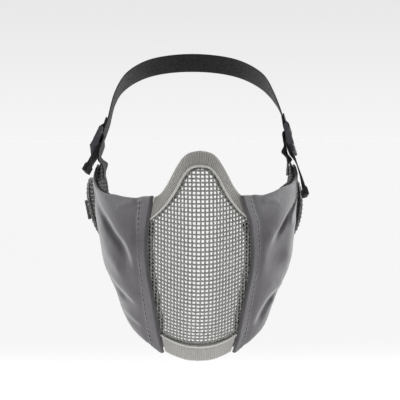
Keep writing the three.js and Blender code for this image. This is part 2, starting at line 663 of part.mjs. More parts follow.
for (const side of SIDES) {
  place(`cheek_panel_${side.name}`, cheekPanel(side), FABRIC);
  place(`cheek_lining_${side.name}`, cheekLining(side), LINING);
  place(`ear_guard_${side.name}`, earGuard(side), WIRE);
  place(`adjuster_webbing_${side.name}`, adjusterWebbing(side), WEBBING);
  place(`buckle_${side.name}`, buckle(side), PLASTIC);
}

place('ear_patch', earPatch(SIDES[0]), PATCH_RUBBER);
place('head_strap', headStrap(), WEBBING);

export default mask;
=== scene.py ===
# %% [markdown]
# # A mesh face mask, as it is worn
#
# The mask has a stiff front of woven steel wire, taped at the nose and the chin, with a fabric cheek
# sewn to each side. Behind the cheeks sit two domed ear guards of the same wire, and a strap round the
# back of the head closes the mask through two small buckles. Everything here is made around a packed
# model of the mask, in the same frame, so no piece has to be fitted afterwards.

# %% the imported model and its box
import math

import bpy
import numpy as np
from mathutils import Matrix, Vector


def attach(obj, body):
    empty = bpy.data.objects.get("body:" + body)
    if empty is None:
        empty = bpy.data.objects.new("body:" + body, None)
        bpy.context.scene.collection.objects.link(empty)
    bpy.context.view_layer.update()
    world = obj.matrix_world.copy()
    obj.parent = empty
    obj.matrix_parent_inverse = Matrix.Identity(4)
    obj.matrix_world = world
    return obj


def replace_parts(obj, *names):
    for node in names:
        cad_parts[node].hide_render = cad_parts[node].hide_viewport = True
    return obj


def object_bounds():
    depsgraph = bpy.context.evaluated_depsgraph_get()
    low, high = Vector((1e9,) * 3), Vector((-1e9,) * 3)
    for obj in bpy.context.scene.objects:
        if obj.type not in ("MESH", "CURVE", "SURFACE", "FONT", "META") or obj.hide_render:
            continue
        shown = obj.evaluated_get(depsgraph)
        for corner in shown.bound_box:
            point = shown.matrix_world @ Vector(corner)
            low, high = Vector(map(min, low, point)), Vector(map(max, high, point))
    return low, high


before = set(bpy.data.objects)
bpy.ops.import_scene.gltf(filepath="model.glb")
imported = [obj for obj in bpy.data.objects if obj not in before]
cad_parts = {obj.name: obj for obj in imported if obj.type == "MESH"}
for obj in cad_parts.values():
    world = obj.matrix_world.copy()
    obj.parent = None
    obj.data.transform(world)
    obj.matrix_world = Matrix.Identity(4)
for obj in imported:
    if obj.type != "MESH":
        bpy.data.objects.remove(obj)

cad_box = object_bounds()
print("nodes", sorted(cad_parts))

# %% [markdown]
# ## Measures and tables
#
# A tailor's pattern gives widths at heights, not points in space. The same is done here: a few driving
# sizes, and short tables with one row for each section. All are in millimetres, and a piece becomes
# metres only when its mesh is made. A smooth curve through the rows gives every value between them.

# %% driving sizes, in millimetres
MM = 0.001  # one millimetre in metres
GAP = 0.3  # between pieces that lie side by side
RIDGE_RADIUS = 20  # the round of the front's ridge, seen from above
FLANK = math.radians(42)  # how far each flank turns back from the ridge
WIDEST_HALF = 37.8  # half the front's width where it is widest
MESH_HALF = 0.7  # half the thickness that tapes and hems leave for the wire
MESH_UNDER_HEM = 3.4  # how far the wire runs on under a hem
MESH_EDGE_IN = 1.9  # how far inside a tape's fold the wire ends
WIRE_PITCH = 3.175
WIRE_RADIUS = 0.68
WIRE_SWING = 0.36  # how far a wire goes out and in at its crossings
TAPE_THICKNESS = 0.9
TAPE_GAP = 0.5  # between the wire and the tape
FABRIC_HALF = 1.0  # half a cheek's thickness
HEM_EXTRA = 0.8  # how much higher the doubled hem stands
HEM_CLEARANCE = 0.75  # between the wire and the hem
LINING_GAP = 1.4  # between the cheek and its lining
LINING_THICKNESS = 1.3
WEBBING_WIDTH = 15
WEBBING_THICKNESS = 1.1
print("a wire", 2 * WIRE_RADIUS, "mm thick every", WIRE_PITCH, "mm")


# %% tables and the curve through their rows
def table(columns, *rows):
    """Named columns of numbers, sorted by the first one."""
    return dict(zip(columns.split(), np.array(sorted(rows), float).T))


def stations(columns, *rows):
    """A table whose first column runs evenly from 0 at the first row to 1 at the last."""
    places = np.linspace(0, 1, len(rows))
    return table("station " + columns, *[(place, *row) for place, row in zip(places, rows)])


def look_up(rows, column, at):
    """A column's value at the first column's key, on cubic Hermite spans:
    h00 v0 + h10 d m0 + h01 v1 + h11 d m1, with each m the slope between its neighbours."""
    key, value, at = next(iter(rows.values())), rows[column], np.asarray(at, float)
    here = np.arange(len(key))
    low, high = np.maximum(here - 1, 0), np.minimum(here + 1, len(key) - 1)
    slope = (value[high] - value[low]) / (key[high] - key[low])
    i = np.clip(np.searchsorted(key, at) - 1, 0, len(key) - 2)
    span = key[i + 1] - key[i]
    chord = (value[i + 1] - value[i]) / span
    t = (at - key[i]) / span
    curve = (2 * t**3 - 3 * t**2 + 1) * value[i] + (t**3 - 2 * t**2 + t) * span * slope[i]
    curve = curve + (3 * t**2 - 2 * t**3) * value[i + 1] + (t**3 - t**2) * span * slope[i + 1]
    below, above = value[i] + chord * (at - key[i]), value[i + 1] + chord * (at - key[i + 1])
    return np.where(t < 0, below, np.where(t > 1, above, curve))


# %% the front's tables
# its middle line, and how far a level wire climbs towards the sides
MIDDLE_LINE = table(
    "z y climb",
    (6, 3.1, 0), (0, 0, 0), (-13, -6.6, 0), (-30, -14, 2.5), (-55, -18, 5.6), (-80, -15.8, 8),
    (-109.5, -6.2, 10), (-128, 3.8, 9.5), (-142, 14, 8.8), (-154, 25, 8.8), (-166, 37, 8.8),
)
# half the open width between the two hems
HEM_LINE = table(
    "z x",
    (-34, 32.3), (-49, 34.9), (-57, 36), (-66, 36.6), (-73, 36.8), (-82, 36.2), (-93, 34.9),
    (-109, 31.9), (-125, 29.2), (-137, 27.3), (-147, 25), (-152, 23.6),
)
# how far behind its edge each hem is sewn down
SEAM_LINE = table(
    "z left right",
    (-34, 11.8, 7.8), (-51, 9.6, 7.8), (-66, 7.8, 7.2), (-82, 7.2, 6), (-97, 7.6, 5.8),
    (-112, 9.4, 6.4), (-127, 9.8, 7), (-147, 9.5, 7),
)
# each tape's fold and free edge, from the middle outwards
NOSE_TAPE = stations(
    "fold_x fold_z free_x free_z",
    (0, -0.6, 0, -12.9), (7.1, -2, 4.7, -13.7), (11.3, -4.8, 7.7, -15.8), (15.3, -10.2, 10.9, -20.2),
    (19.7, -18, 14.2, -26.6), (24, -26, 18, -33.2), (27.6, -31, 22.6, -39.6),
    (29.8, -33.1, 27.6, -45.2), (31.9, -34.2, 34.9, -51.2),
)
CHIN_TAPE = stations(
    "fold_x fold_z free_x free_z",
    (0, -157.3, 0, -144), (9, -156.7, 10, -143.2), (18, -154.3, 20, -140.4),
    (23.2, -152, 26.9, -137),
)

# %% the cheek's table, one row for each section from the top down
# where a section starts on the front and ends at the rear, how far its curve reaches from both, the
# angle by which it turns in, and two shifts along x that go the same way on both sides
CHEEK = stations(
    "front_z front_reach front_lift rear_x rear_y rear_z rear_reach rear_lift turn_in sway rear_sway",
    (-34, 40, -4, 76.5, 90, -11.5, 32, -19, 8, 0, 0),
    (-44, 44, 1, 73.8, 99, -27, 36, -8, 18, -2.3, 1.4),
    (-58, 45.7, 3, 72.4, 101, -45, 36, -4, 17.5, -3.1, 1.4),
    (-76, 43.6, 3, 71, 97, -66, 32, -3, 12, -2.2, 1.4),
    (-94, 38.2, 2, 66.3, 90, -87, 26, -3, 22, 0.5, -0.5),
    (-111, 30.8, 2, 59, 80, -106.5, 20, -3, 17, 1, -1.8),
    (-125, 23, 1.5, 55.3, 70, -121.5, 14, -3, 12, -0.5, -0.5),
    (-136, 14.8, 1, 49.4, 60, -134, 9, -2.5, 10, 0, 0),
    (-143, 9.8, 0.7, 40.8, 51, -142.6, 5, -1.8, 8, 0, 0),
    (-147.6, 5.3, 0.2, 34.2, 44.5, -147.4, 2, -0.6, 5, 0, 0),
    (-151.3, 1.6, 0, 28.4, 42, -150.6, 1, -0.2, 5, 0, 0),
)
# near the top, shifts of the two inner points of each side's curve, fading down the cheek
CORNER_FADE = 0.08
CORNERS = {-1: ((-2, 0, 2), (6.5, 0, -5.5)), 1: ((0, 0, 4.5), (1.5, 0, 4))}
print(len(CHEEK["station"]), "sections for each cheek")


# %% [markdown]
# ## From grids to meshes
#
# Every new piece is a grid of points worked out with numpy. Two kinds of skin are enough: a wall,
# which is an outer grid and an inner grid joined round their rims, and a sweep, which is one ring of
# points carried along a path. Both are closed, so they have a true inside and a true thickness.

# %% small helpers
def smooth_step(low, high, value):
    """0 below low, 1 above high, 3 t^2 - 2 t^3 between."""
    t = np.clip((value - low) / (high - low), 0, 1)
    return t * t * (3 - 2 * t)


def bell(value, middle, width):
    """exp(-((value - middle) / width)^2): 1 at the middle, nearly 0 two widths away."""
    return np.exp(-(((value - middle) / width) ** 2))


def unit(vectors):
    """Each vector divided by its own length."""
    return vectors / np.maximum(np.linalg.norm(vectors, axis=-1, keepdims=True), 1e-12)


# %% the faces of walls and sweeps
def grid_faces(grid):
    """Four corners of each cell of a grid of point numbers."""
    return np.stack([grid[:-1, :-1], grid[:-1, 1:], grid[1:, 1:], grid[1:, :-1]], -1).reshape(-1, 4)


def wall_faces(rows, columns):
    """An outer grid, the inner grid after it, and the rim between their edges."""
    count = rows * columns
    grid = np.arange(count).reshape(rows, columns)
    rim = np.concatenate([grid[0, :-1], grid[:-1, -1], grid[-1, :0:-1], grid[:0:-1, 0]])
    after = np.roll(rim, -1)
    sides = np.stack([rim, rim + count, after + count, after], -1)
    return np.concatenate([grid_faces(grid), grid_faces(grid)[:, ::-1] + count, sides])


def sweep_faces(rod_count, length, size):
    """Rings of an even size, length of them to a rod, closed by strips of cells at both ends."""
    ring = np.append(np.arange(size), 0)
    skin = grid_faces(np.arange(length)[:, None] * size + ring)
    i = np.arange(size // 2 - 1)
    cap = np.stack([i, i + 1, size - 2 - i, size - 1 - i], -1)
    rod = np.concatenate([skin, cap[:, ::-1], cap + (length - 1) * size])
    return (rod + np.arange(rod_count)[:, None, None] * length * size).reshape(-1, 4)


def volume(points, faces):
    """Six times the signed volume inside the faces, from p . (q x r) over their triangles."""
    corners = points[faces]
    first = np.einsum("ij,ij->i", corners[:, 0], np.cross(corners[:, 1], corners[:, 2])).sum()
    return first + np.einsum("ij,ij->i", corners[:, 0], np.cross(corners[:, 2], corners[:, 3])).sum()


# %% one mesh object from points in millimetres
def make_piece(name, points, faces, material, uv=None, body="root"):
    """A smooth object whose faces point outwards; uv gives two numbers for each point."""
    points = np.asarray(points, float).reshape(-1, 3)
    if volume(points, faces) < 0:
        faces = faces[:, ::-1]
    mesh = bpy.data.meshes.new(name)
    mesh.vertices.add(len(points))
    mesh.vertices.foreach_set("co", (points * MM).ravel())
    mesh.loops.add(faces.size)
    mesh.loops.foreach_set("vertex_index", faces.ravel())
    mesh.polygons.add(len(faces))
    mesh.polygons.foreach_set("loop_start", np.arange(0, faces.size, 4))
    mesh.polygons.foreach_set("use_smooth", np.ones(len(faces), bool))
    mesh.update(calc_edges=True)
    if uv is not None:
        layer = mesh.uv_layers.new(name="cloth")
        layer.data.foreach_set("uv", np.asarray(uv, float).reshape(-1, 2)[faces.ravel()].ravel())
    mesh.materials.append(material)
    piece = bpy.data.objects.new(name, mesh)
    bpy.context.scene.collection.objects.link(piece)
    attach(piece, body)
    print(name, len(faces) * 2, "triangles")
    return piece


# %% rods and threads
def rods(paths, ups, radius, sides=6):
    """Round rods (rod, station, 3): each ring is p + r (cos a up + sin a side), side = along x up."""
    along = unit(np.gradient(paths, axis=1))
    side = unit(np.cross(along, ups))
    up = np.cross(side, along)
    angle = np.arange(sides) * 2 * math.pi / sides
    thick = np.broadcast_to(radius, paths.shape[:2])[..., None, None]
    rings = up[:, :, None] * np.cos(angle)[:, None] + side[:, :, None] * np.sin(angle)[:, None]
    points = paths[:, :, None] + thick * rings
    return points.reshape(-1, 3), sweep_faces(*paths.shape[:2], sides)


def threads(starts, ends, normals, radius=0.3, rise=0.16, sink=0.05):
    """Short stitches from start to end: each leaves the cloth, arches over it by rise sin(pi t) - sink
    and goes back in, and is about a third as thick where it enters."""
    t = np.linspace(0, 1, 7)[None, :, None]
    arch = np.sin(math.pi * t)
    paths = starts[:, None] * (1 - t) + ends[:, None] * t + normals[:, None] * (rise * arch - sink)
    taper = radius * (0.35 + 0.65 * arch[..., 0] ** 0.5)
    return rods(paths, np.broadcast_to(normals[:, None], paths.shape), taper)


# %% curves along points
def along_curve(points, per_span):
    """A centripetal Catmull-Rom curve: knots spaced by the square root of each chord, tangents from
    the three chords round a span, per_span points on each span."""
    points = np.asarray(points, float)
    ends = [2 * points[0] - points[1], *points, 2 * points[-1] - points[-2]]
    p0, p1, p2, p3 = (np.array(ends)[i:len(ends) - 3 + i] for i in range(4))
    d0, d1, d2 = (np.linalg.norm(b - a, axis=1)[:, None] ** 0.5 for a, b in ((p0, p1), (p1, p2), (p2, p3)))
    m1 = ((p1 - p0) / d0 - (p2 - p0) / (d0 + d1) + (p2 - p1) / d1) * d1
    m2 = ((p2 - p1) / d1 - (p3 - p1) / (d1 + d2) + (p3 - p2) / d2) * d1
    spans = np.repeat(np.arange(len(p1)), per_span)
    t = np.concatenate([np.arange(n) / n for n in np.broadcast_to(per_span, len(p1))])[:, None]
    p1, p2, m1, m2 = (a[spans] for a in (p1, p2, m1, m2))
    curve = (2 * t**3 - 3 * t**2 + 1) * p1 + (t**3 - 2 * t**2 + t) * m1
    curve = curve + (3 * t**2 - 2 * t**3) * p2 + (t**3 - t**2) * m2
    return np.vstack([curve, points[-1]])


def arc_length(path):
    """Distance along a path at each of its points."""
    return np.concatenate([[0], np.cumsum(np.linalg.norm(np.diff(path, axis=0), axis=1))])


# %% a flat strap
SELVEDGE = 1.035  # how far out the rounded selvedge stands, as a share of half the strap's width
ACROSS_POINTS = 15


def flat_strap(path, across, thickness, width=WEBBING_WIDTH, crown=0.1):
    """A strap: at each point a rounded flat ring, |x| < w/2 across and t/2 (1 - crown x^8) either way,
    whose selvedges are half round. Its uv is (across, along) in millimetres."""
    along = unit(np.gradient(path, axis=0))
    side = unit(across - along * np.einsum("ij,ij->i", across, along)[:, None])
    normal = np.cross(along, side)
    flat = np.linspace(-1, 1, ACROSS_POINTS)
    edge = np.array([SELVEDGE, SELVEDGE])
    ring_x = np.concatenate([flat, edge, flat[::-1], -edge])
    lift = 1 - crown * flat**8
    ring_y = np.concatenate([lift, [0.5, -0.5], -lift, [-0.5, 0.5]])
    half = np.broadcast_to(thickness, len(path))[:, None, None] / 2
    rings = path[:, None] + side[:, None] * (ring_x * width / 2)[:, None]
    rings = rings + normal[:, None] * half * ring_y[:, None]
    uv = np.stack(np.broadcast_arrays(ring_x * width / 2, arc_length(path)[:, None]), -1)
    return rings.reshape(-1, 3), sweep_faces(1, len(path), len(ring_x)), uv.reshape(-1, 2)


# %% [markdown]
# ## Finishes
#
# Nine finishes cover the mask: painted wire, a darker one for the ear guards, ribbed tape, smooth
# cheek fabric, sewing thread, open lining, woven webbing, moulded plastic and matt rubber. Some paint
# light and shade into their colour: the ear guards' wire is darkened as painted shade, the tape has
# painted shade between its ribs and a painted highlight on its roll, and the thread, lining and webbing
# are darker partly by painted shade. Each is a Principled shader. Noise on the object's own position
# varies the colour and gives the fine grain.
# A pattern that has to follow a surface, as on the tapes, the linings and the straps, reads the
# piece's own uv, which is in millimetres, so it keeps its scale and turns with the cloth.

# %% a finish and its parts
def finish(name, roughness, **sockets):
    """A material with one Principled shader; sockets are constants set on the shader itself."""
    material = bpy.data.materials.new(name)
    material.use_nodes = True
    shader = material.node_tree.nodes["Principled BSDF"]
    shader.inputs["Roughness"].default_value = roughness
    for socket, value in sockets.items():
        shader.inputs[socket.replace("_", " ")].default_value = value
    return material


def node(material, kind, **settings):
    """A node of a kind; a setting that names an input socket is put on it."""
    made = material.node_tree.nodes.new("ShaderNode" + kind)
    for key, value in settings.items():
        if key in made.inputs:
            made.inputs[key].default_value = value
        else:
            setattr(made, key, value)
    return made


def join(material, output, socket):
    """A link from one node's output to another's input."""
    material.node_tree.links.new(output, socket)


# %% noise, colour and bump
def noise(material, size, detail=3):
    """Noise whose features are about size millimetres, on the object's own position."""
    made = node(material, "TexNoise", Scale=1 / (size * MM), Detail=detail)
    join(material, node(material, "TexCoord").outputs["Object"], made.inputs["Vector"])
    return made.outputs["Fac"]


def blend_colours(material, factor, low, high, span=(0.35, 0.65)):
    """The base colour runs from low to high as the factor crosses span."""
    ramp = node(material, "ValToRGB")
    ramp.color_ramp.elements[0].position, ramp.color_ramp.elements[1].position = span
    ramp.color_ramp.elements[0].color = (*low, 1)
    ramp.color_ramp.elements[1].color = (*high, 1)
    join(material, factor, ramp.inputs[0])
    join(material, ramp.outputs[0], material.node_tree.nodes["Principled BSDF"].inputs["Base Color"])
    return ramp


def bump(material, height, depth, strength=1.0, under=None):
    """Height becomes bumps of depth millimetres, over another bump if one is given."""
    made = node(material, "Bump", Distance=depth * MM, Strength=strength)
    join(material, height, made.inputs["Height"])
    if under is not None:
        join(material, under, made.inputs["Normal"])
    join(material, made.outputs[0], material.node_tree.nodes["Principled BSDF"].inputs["Normal"])
    return made.outputs[0]


def calc(material, operation, *values, **settings):
    """One step of arithmetic as a node, on numbers or on other nodes' outputs."""
    made = node(material, "Math", operation=operation, **settings)
    for place, value in enumerate(values):
        if isinstance(value, (int, float)):
            made.inputs[place].default_value = value
        else:
            join(material, value, made.inputs[place])
    return made.outputs[0]


# %% painted wire
wire = finish(
    "painted_wire", 0.42, Metallic=0.0, Specular_IOR_Level=0.55, Coat_Weight=0.15, Coat_Roughness=0.3)
blend_colours(wire, noise(wire, 3.0), (0.25, 0.254, 0.238), (0.32, 0.325, 0.305))
bump(wire, noise(wire, 0.5), 0.04)

# %% the ear guards' wire: the same paint, made darker as painted shade, as the guards lie in shade beside the head when the mask is worn
shaded_ear_wire = finish("ear_guard_wire_painted_shade", 0.5, Specular_IOR_Level=0.4)
blend_colours(shaded_ear_wire, noise(shaded_ear_wire, 2.0), (0.05, 0.051, 0.048), (0.085, 0.086, 0.081))

# %% ribbed tape: painted shade between its ribs, and a painted highlight on the roll at its edge
RIB_PITCH = 1.5
ROLL_WIDTH = 1.4
RIB_SHADE = 0.32
YARN_SHADE = 1.2
SHADE_GAIN = 0.55
SHADE_MIDDLE = 0.4
tape = finish("ribbed_tape", 0.88, Sheen_Weight=0.2, Sheen_Roughness=0.5)
tape_uv = node(tape, "SeparateXYZ")
join(tape, node(tape, "TexCoord").outputs["UV"], tape_uv.inputs[0])
# the rib's sine paints shade between the ribs, and the roll's mask paints a highlight on the roll
rib = calc(tape, "SINE", calc(tape, "MULTIPLY", tape_uv.outputs[0], 2 * math.pi / RIB_PITCH))
roll_highlight = calc(tape, "LESS_THAN", tape_uv.outputs[1], ROLL_WIDTH)
yarn = calc(tape, "MULTIPLY_ADD", noise(tape, 0.8, 4), YARN_SHADE, -YARN_SHADE / 2)
shade = calc(tape, "ADD", calc(tape, "MAXIMUM", calc(tape, "MULTIPLY", rib, RIB_SHADE), roll_highlight), yarn)
tone = calc(tape, "MULTIPLY_ADD", shade, SHADE_GAIN, SHADE_MIDDLE)
blend_colours(tape, tone, (0.2, 0.196, 0.187), (0.62, 0.607, 0.575), (0.12, 1.0))
bump(tape, noise(tape, 0.35, 4), 0.12)

# %% cheek fabric
fabric = finish("cheek_fabric", 0.72, Sheen_Weight=0.35, Sheen_Roughness=0.45)
blend_colours(fabric, noise(fabric, 14, 4), (0.088, 0.083, 0.09), (0.104, 0.098, 0.106))
fabric_grain = bump(fabric, noise(fabric, 0.45, 2), 0.05)
bump(fabric, noise(fabric, 5, 3), 0.25, under=fabric_grain)

# %% thread, much darker than the fabric: partly the thread's own black, partly painted shade of its stitch holes
thread = finish("sewing_thread", 0.7, Sheen_Weight=0.2)
blend_colours(thread, noise(thread, 0.6), (0.016, 0.016, 0.017), (0.035, 0.034, 0.036))

# %% open lining: cos 2a + 2 cos a cos b is highest in the middle of each cell of a honeycomb
# the holes are there; the sum runs from -1.5 to 3, so over 4.5 and raised by a third it runs 0 to 1
HOLE_PITCH = 2.7
lining = finish("spacer_lining", 0.95, Specular_IOR_Level=0.2)
lining_uv = node(lining, "SeparateXYZ")
join(lining, node(lining, "TexCoord").outputs["UV"], lining_uv.inputs[0])
along_row = calc(lining, "MULTIPLY", lining_uv.outputs[0], math.pi / HOLE_PITCH)
down_rows = calc(lining, "MULTIPLY", lining_uv.outputs[1], math.sqrt(3) * math.pi / HOLE_PITCH)
crossed = calc(lining, "MULTIPLY", calc(lining, "COSINE", along_row), calc(lining, "COSINE", down_rows))
doubled = calc(lining, "COSINE", calc(lining, "MULTIPLY", along_row, 2))
peaks = calc(lining, "MULTIPLY_ADD", crossed, 2.0, doubled)
hole = calc(lining, "MULTIPLY_ADD", peaks, 1 / 4.5, 1 / 3)
# its colours are the spacer mesh's own black, made darker still by painted shade, as the head shades the
# lining when the mask is worn; the holes are the darkest
blend_colours(lining, hole, (0.1, 0.098, 0.103), (0.003, 0.003, 0.0035), (0.34, 0.52))
bump(lining, hole, 0.6, -0.8)

# %% woven webbing: slanting lines that meet at the middle, broken up by its lengthwise yarns
SLANT_PITCH = 1.6
YARN_PITCH = 0.9
webbing = finish("woven_webbing", 0.85, Sheen_Weight=0.06, Specular_IOR_Level=0.25)
uv_parts = node(webbing, "SeparateXYZ")
join(webbing, node(webbing, "TexCoord").outputs["UV"], uv_parts.inputs[0])
diagonal = calc(webbing, "ADD", calc(webbing, "ABSOLUTE", uv_parts.outputs[0]), uv_parts.outputs[1])
weave = calc(webbing, "SINE", calc(webbing, "MULTIPLY", diagonal, 2 * math.pi / SLANT_PITCH))
yarns = calc(webbing, "SINE", calc(webbing, "MULTIPLY", uv_parts.outputs[0], 2 * math.pi / YARN_PITCH))
weave_height = calc(webbing, "MULTIPLY_ADD", calc(webbing, "MULTIPLY", weave, yarns), 0.5, 0.5)
# its colours are the webbing's own near-black, made darker still by painted shade, as the head shades the
# straps when the mask is worn; the facings share it
blend_colours(webbing, weave_height, (0.012, 0.012, 0.013), (0.04, 0.04, 0.043), (0.2, 0.9))
bump(webbing, weave_height, 0.16)

# %% moulded plastic
plastic = finish("moulded_plastic", 0.36, Specular_IOR_Level=0.5)
blend_colours(plastic, noise(plastic, 6), (0.055, 0.055, 0.064), (0.075, 0.075, 0.086))
bump(plastic, noise(plastic, 0.25, 2), 0.02)

# %% matt rubber
rubber = finish("matt_rubber", 0.6)
blend_colours(rubber, noise(rubber, 4), (0.09, 0.095, 0.082), (0.115, 0.12, 0.105))
bump(rubber, noise(rubber, 0.3, 2), 0.03)
print("finishes", [material.name for material in (
    wire, shaded_ear_wire, tape, fabric, thread, lining, webbing, plastic, rubber)])


# %% [markdown]
# ## Camera, floor and light
#
# The mask is seen from the front through a long lens, which keeps its width true: nearly level, two
# degrees from above, and as little from the wearer's right. The floor is plain and pale. The world
# gives most of the light. It is dim in front and brightest at the sides, so the cheeks and flanks
# shade as they turn, as between the wide side panels of a small studio tent. Two lamps with narrow
# beams stand behind, one at either side, and a faint one stands low in front.

# %% camera
LENS = 160.3
CAMERA_AWAY = 1.3
CAMERA_TURN = math.radians(1.9)
CAMERA_RISE = math.radians(2.0)
LOOK_AT = np.array([0.0, 0.0, -0.0365])
backward = np.array([
    -math.sin(CAMERA_TURN) * math.cos(CAMERA_RISE),
    -math.cos(CAMERA_TURN) * math.cos(CAMERA_RISE),
    math.sin(CAMERA_RISE),
])
camera = bpy.data.objects.new("camera", bpy.data.cameras.new("camera"))
bpy.context.scene.collection.objects.link(camera)
camera.data.lens = LENS
camera.data.clip_end = 1000
camera.location = LOOK_AT + backward * CAMERA_AWAY
camera.rotation_euler = (math.pi / 2 - CAMERA_RISE, 0, -CAMERA_TURN)
bpy.context.scene.camera = camera

# %% floor
FLOOR_DROP = 0.14  # metres below the mask
FLOOR_REACH = 500.0
floor_mesh = bpy.data.meshes.new("floor")
floor_z = cad_box[0][2] - FLOOR_DROP
corners = [(x * FLOOR_REACH, y * FLOOR_REACH, floor_z) for x, y in ((-1, -1), (1, -1), (1, 1), (-1, 1))]
floor_mesh.from_pydata(corners, [], [(0, 1, 2, 3)])
pale = finish("pale_floor", 0.95, Base_Color=(0.93, 0.93, 0.93, 1), Specular_IOR_Level=0.0)
floor_mesh.materials.append(pale)
floor = bpy.data.objects.new("floor", floor_mesh)
bpy.context.scene.collection.objects.link(floor)

# %% world: greys by height, from the horizon up, times greys from the front (0) to the back (1)
BY_HEIGHT = ((0, 0.92), (0.075, 0.81), (0.3, 0.9), (0.99, 1.15))
FRONT_TO_BACK = (
    (0, 0.08), (0.16, 0.1), (0.3, 0.25), (0.44, 0.8), (0.56, 1.7), (0.72, 1.7), (0.9, 1.05), (0.97, 1),
)
COLOUR_A, COLOUR_B, COLOUR_OUT = 6, 7, 2  # a Mix node's sockets for colours
world = bpy.data.worlds.new("studio")
bpy.context.scene.world = world
world.use_nodes = True
tree = world.node_tree
way = tree.nodes.new("ShaderNodeSeparateXYZ")
tree.links.new(tree.nodes.new("ShaderNodeTexCoord").outputs["Generated"], way.inputs[0])
forward = tree.nodes.new("ShaderNodeMapRange")
forward.inputs["From Min"].default_value = -1
tree.links.new(way.outputs[1], forward.inputs["Value"])


def grey_ramp(value, *stops):
    """A ramp of greys, from (position, level) stops."""
    ramp = tree.nodes.new("ShaderNodeValToRGB")
    tree.links.new(value, ramp.inputs[0])
    for position, level in stops:
        stop = ramp.color_ramp.elements[0] if position == 0 else ramp.color_ramp.elements.new(position)
        stop.color = (level, level, level, 1)
    last = ramp.color_ramp.elements[len(ramp.color_ramp.elements) - 1]
    last.color = (stops[-1][1],) * 3 + (1,)
    return ramp.outputs[0]


sky = tree.nodes.new("ShaderNodeMix")
sky.data_type, sky.blend_type = "RGBA", "MULTIPLY"
sky.inputs[0].default_value = 1
tree.links.new(grey_ramp(way.outputs[2], *BY_HEIGHT), sky.inputs[COLOUR_A])
tree.links.new(grey_ramp(forward.outputs[0], *FRONT_TO_BACK), sky.inputs[COLOUR_B])
tree.links.new(sky.outputs[COLOUR_OUT], tree.nodes["Background"].inputs[0])
bpy.context.scene.view_settings.view_transform = "Standard"


# %% lamps
BEAM = math.radians(80)
MASK_MIDDLE = np.array([0, 0.05, -0.07])


def soft_light(name, place, size, watts):
    """A square lamp that faces the mask's middle; its beam is narrower than a bare panel's."""
    light = bpy.data.lights.new(name, "AREA")
    light.size = size
    light.energy = watts
    light.spread = BEAM
    lamp = bpy.data.objects.new(name, light)
    bpy.context.scene.collection.objects.link(lamp)
    lamp.location = place
    away = np.array(place) - MASK_MIDDLE
    pitch = math.atan2(math.hypot(away[0], away[1]), away[2])
    lamp.rotation_euler = (pitch, 0, math.atan2(away[1], away[0]) + math.pi / 2)
    return lamp


soft_light("left_light", (-1.3, 1.1, 0.3), 0.7, 3.9)
soft_light("right_light", (1.3, 1.1, 0.3), 0.7, 3.9)
soft_light("low_light", (0.0, -0.8, -0.27), 0.5, 0.35)


# %% [markdown]
# ## The front: woven wire
#
# The front is a ridge with two flat flanks, bowed forward at the mouth. Real wire cloth is woven flat,
# one wire over, one under, and then pressed into this shape. So each wire here is its own rod. It
# follows the pressed surface and swings out and in at every crossing, as a cosine whose half wave is
# one pitch. The swing is less than the radius, so crossing wires sink into each other by almost half
# their thickness, where real ones only touch and are bonded by their paint. A painted picture of
# a mesh can't be seen through, and this can.

# %% the pressed surface
def behind_ridge(x):
    """Depth behind the ridge: r - sqrt(r^2 - x^2) on the round, then a flat flank."""
    width, arc_half = np.abs(x), RIDGE_RADIUS * math.sin(FLANK)
    on_round = RIDGE_RADIUS - np.sqrt(np.maximum(RIDGE_RADIUS**2 - width**2, 0))
    on_flank = RIDGE_RADIUS * (1 - math.cos(FLANK)) + (width - arc_half) * math.tan(FLANK)
    return np.where(width < arc_half, on_round, on_flank)


def climb_at(x, z):
    """How far a level wire has climbed at half-width x: climb(z) (x / widest)^2."""
    return look_up(MIDDLE_LINE, "climb", z) * (x / WIDEST_HALF) ** 2


def front(x, z):
    """The point of the front's middle surface at (x, z)."""
    x, z = np.broadcast_arrays(np.asarray(x, float), np.asarray(z, float))
    y = look_up(MIDDLE_LINE, "y", z - climb_at(x, z)) + behind_ridge(x)
    return np.stack([x, y, z], -1)


def front_normal(x, z, step=0.01):
    """Outward normal, the cross product of the surface's slopes along x and z."""
    along_x = front(x + step, z) - front(x - step, z)
    return unit(np.cross(along_x, front(x, z + step) - front(x, z - step)))


# %% where the wire is cut: inside both tapes and under both hems
def edge_height(tape_rows, x, inside):
    """Height of a line that runs a distance inside a tape's folded edge."""
    width = np.abs(x)
    edge = dict(fold_x=tape_rows["fold_x"], fold_z=tape_rows["fold_z"])
    slope = look_up(edge, "fold_z", width + 0.5) - look_up(edge, "fold_z", width - 0.5)
    return look_up(edge, "fold_z", width) + inside * np.hypot(1, slope)


def inside_front(x, z):
    """True where the wire cloth is."""
    arch = NOSE_TAPE["fold_x"][-1]
    shoulder = NOSE_TAPE["fold_z"][-1] - MESH_EDGE_IN
    top = np.where(np.abs(x) < arch, edge_height(NOSE_TAPE, x, -MESH_EDGE_IN), shoulder)
    bottom = edge_height(CHIN_TAPE, x, MESH_EDGE_IN)
    half = look_up(HEM_LINE, "x", np.minimum(z, HEM_LINE["z"][-1])) + MESH_UNDER_HEM
    return (z < top) & (z > bottom) & (np.abs(x) < half)


# %% the weave
def plan_x(s):
    """Half-width at a distance s round the plan: r sin(s / r) on the round, then s cos(flank)."""
    round_end = RIDGE_RADIUS * FLANK
    past = np.maximum(np.abs(s) - round_end, 0)
    on_round = RIDGE_RADIUS * np.sin(np.minimum(np.abs(s), round_end) / RIDGE_RADIUS)
    return np.sign(s) * (on_round + past * math.cos(FLANK))


FINE = 2001
fine_z = np.linspace(2, -160, FINE)
fine_line = np.stack([look_up(MIDDLE_LINE, "y", fine_z), fine_z], -1)
fine_length = arc_length(fine_line)
fine_s = np.linspace(-60, 60, FINE)
fine_x = plan_x(fine_s)


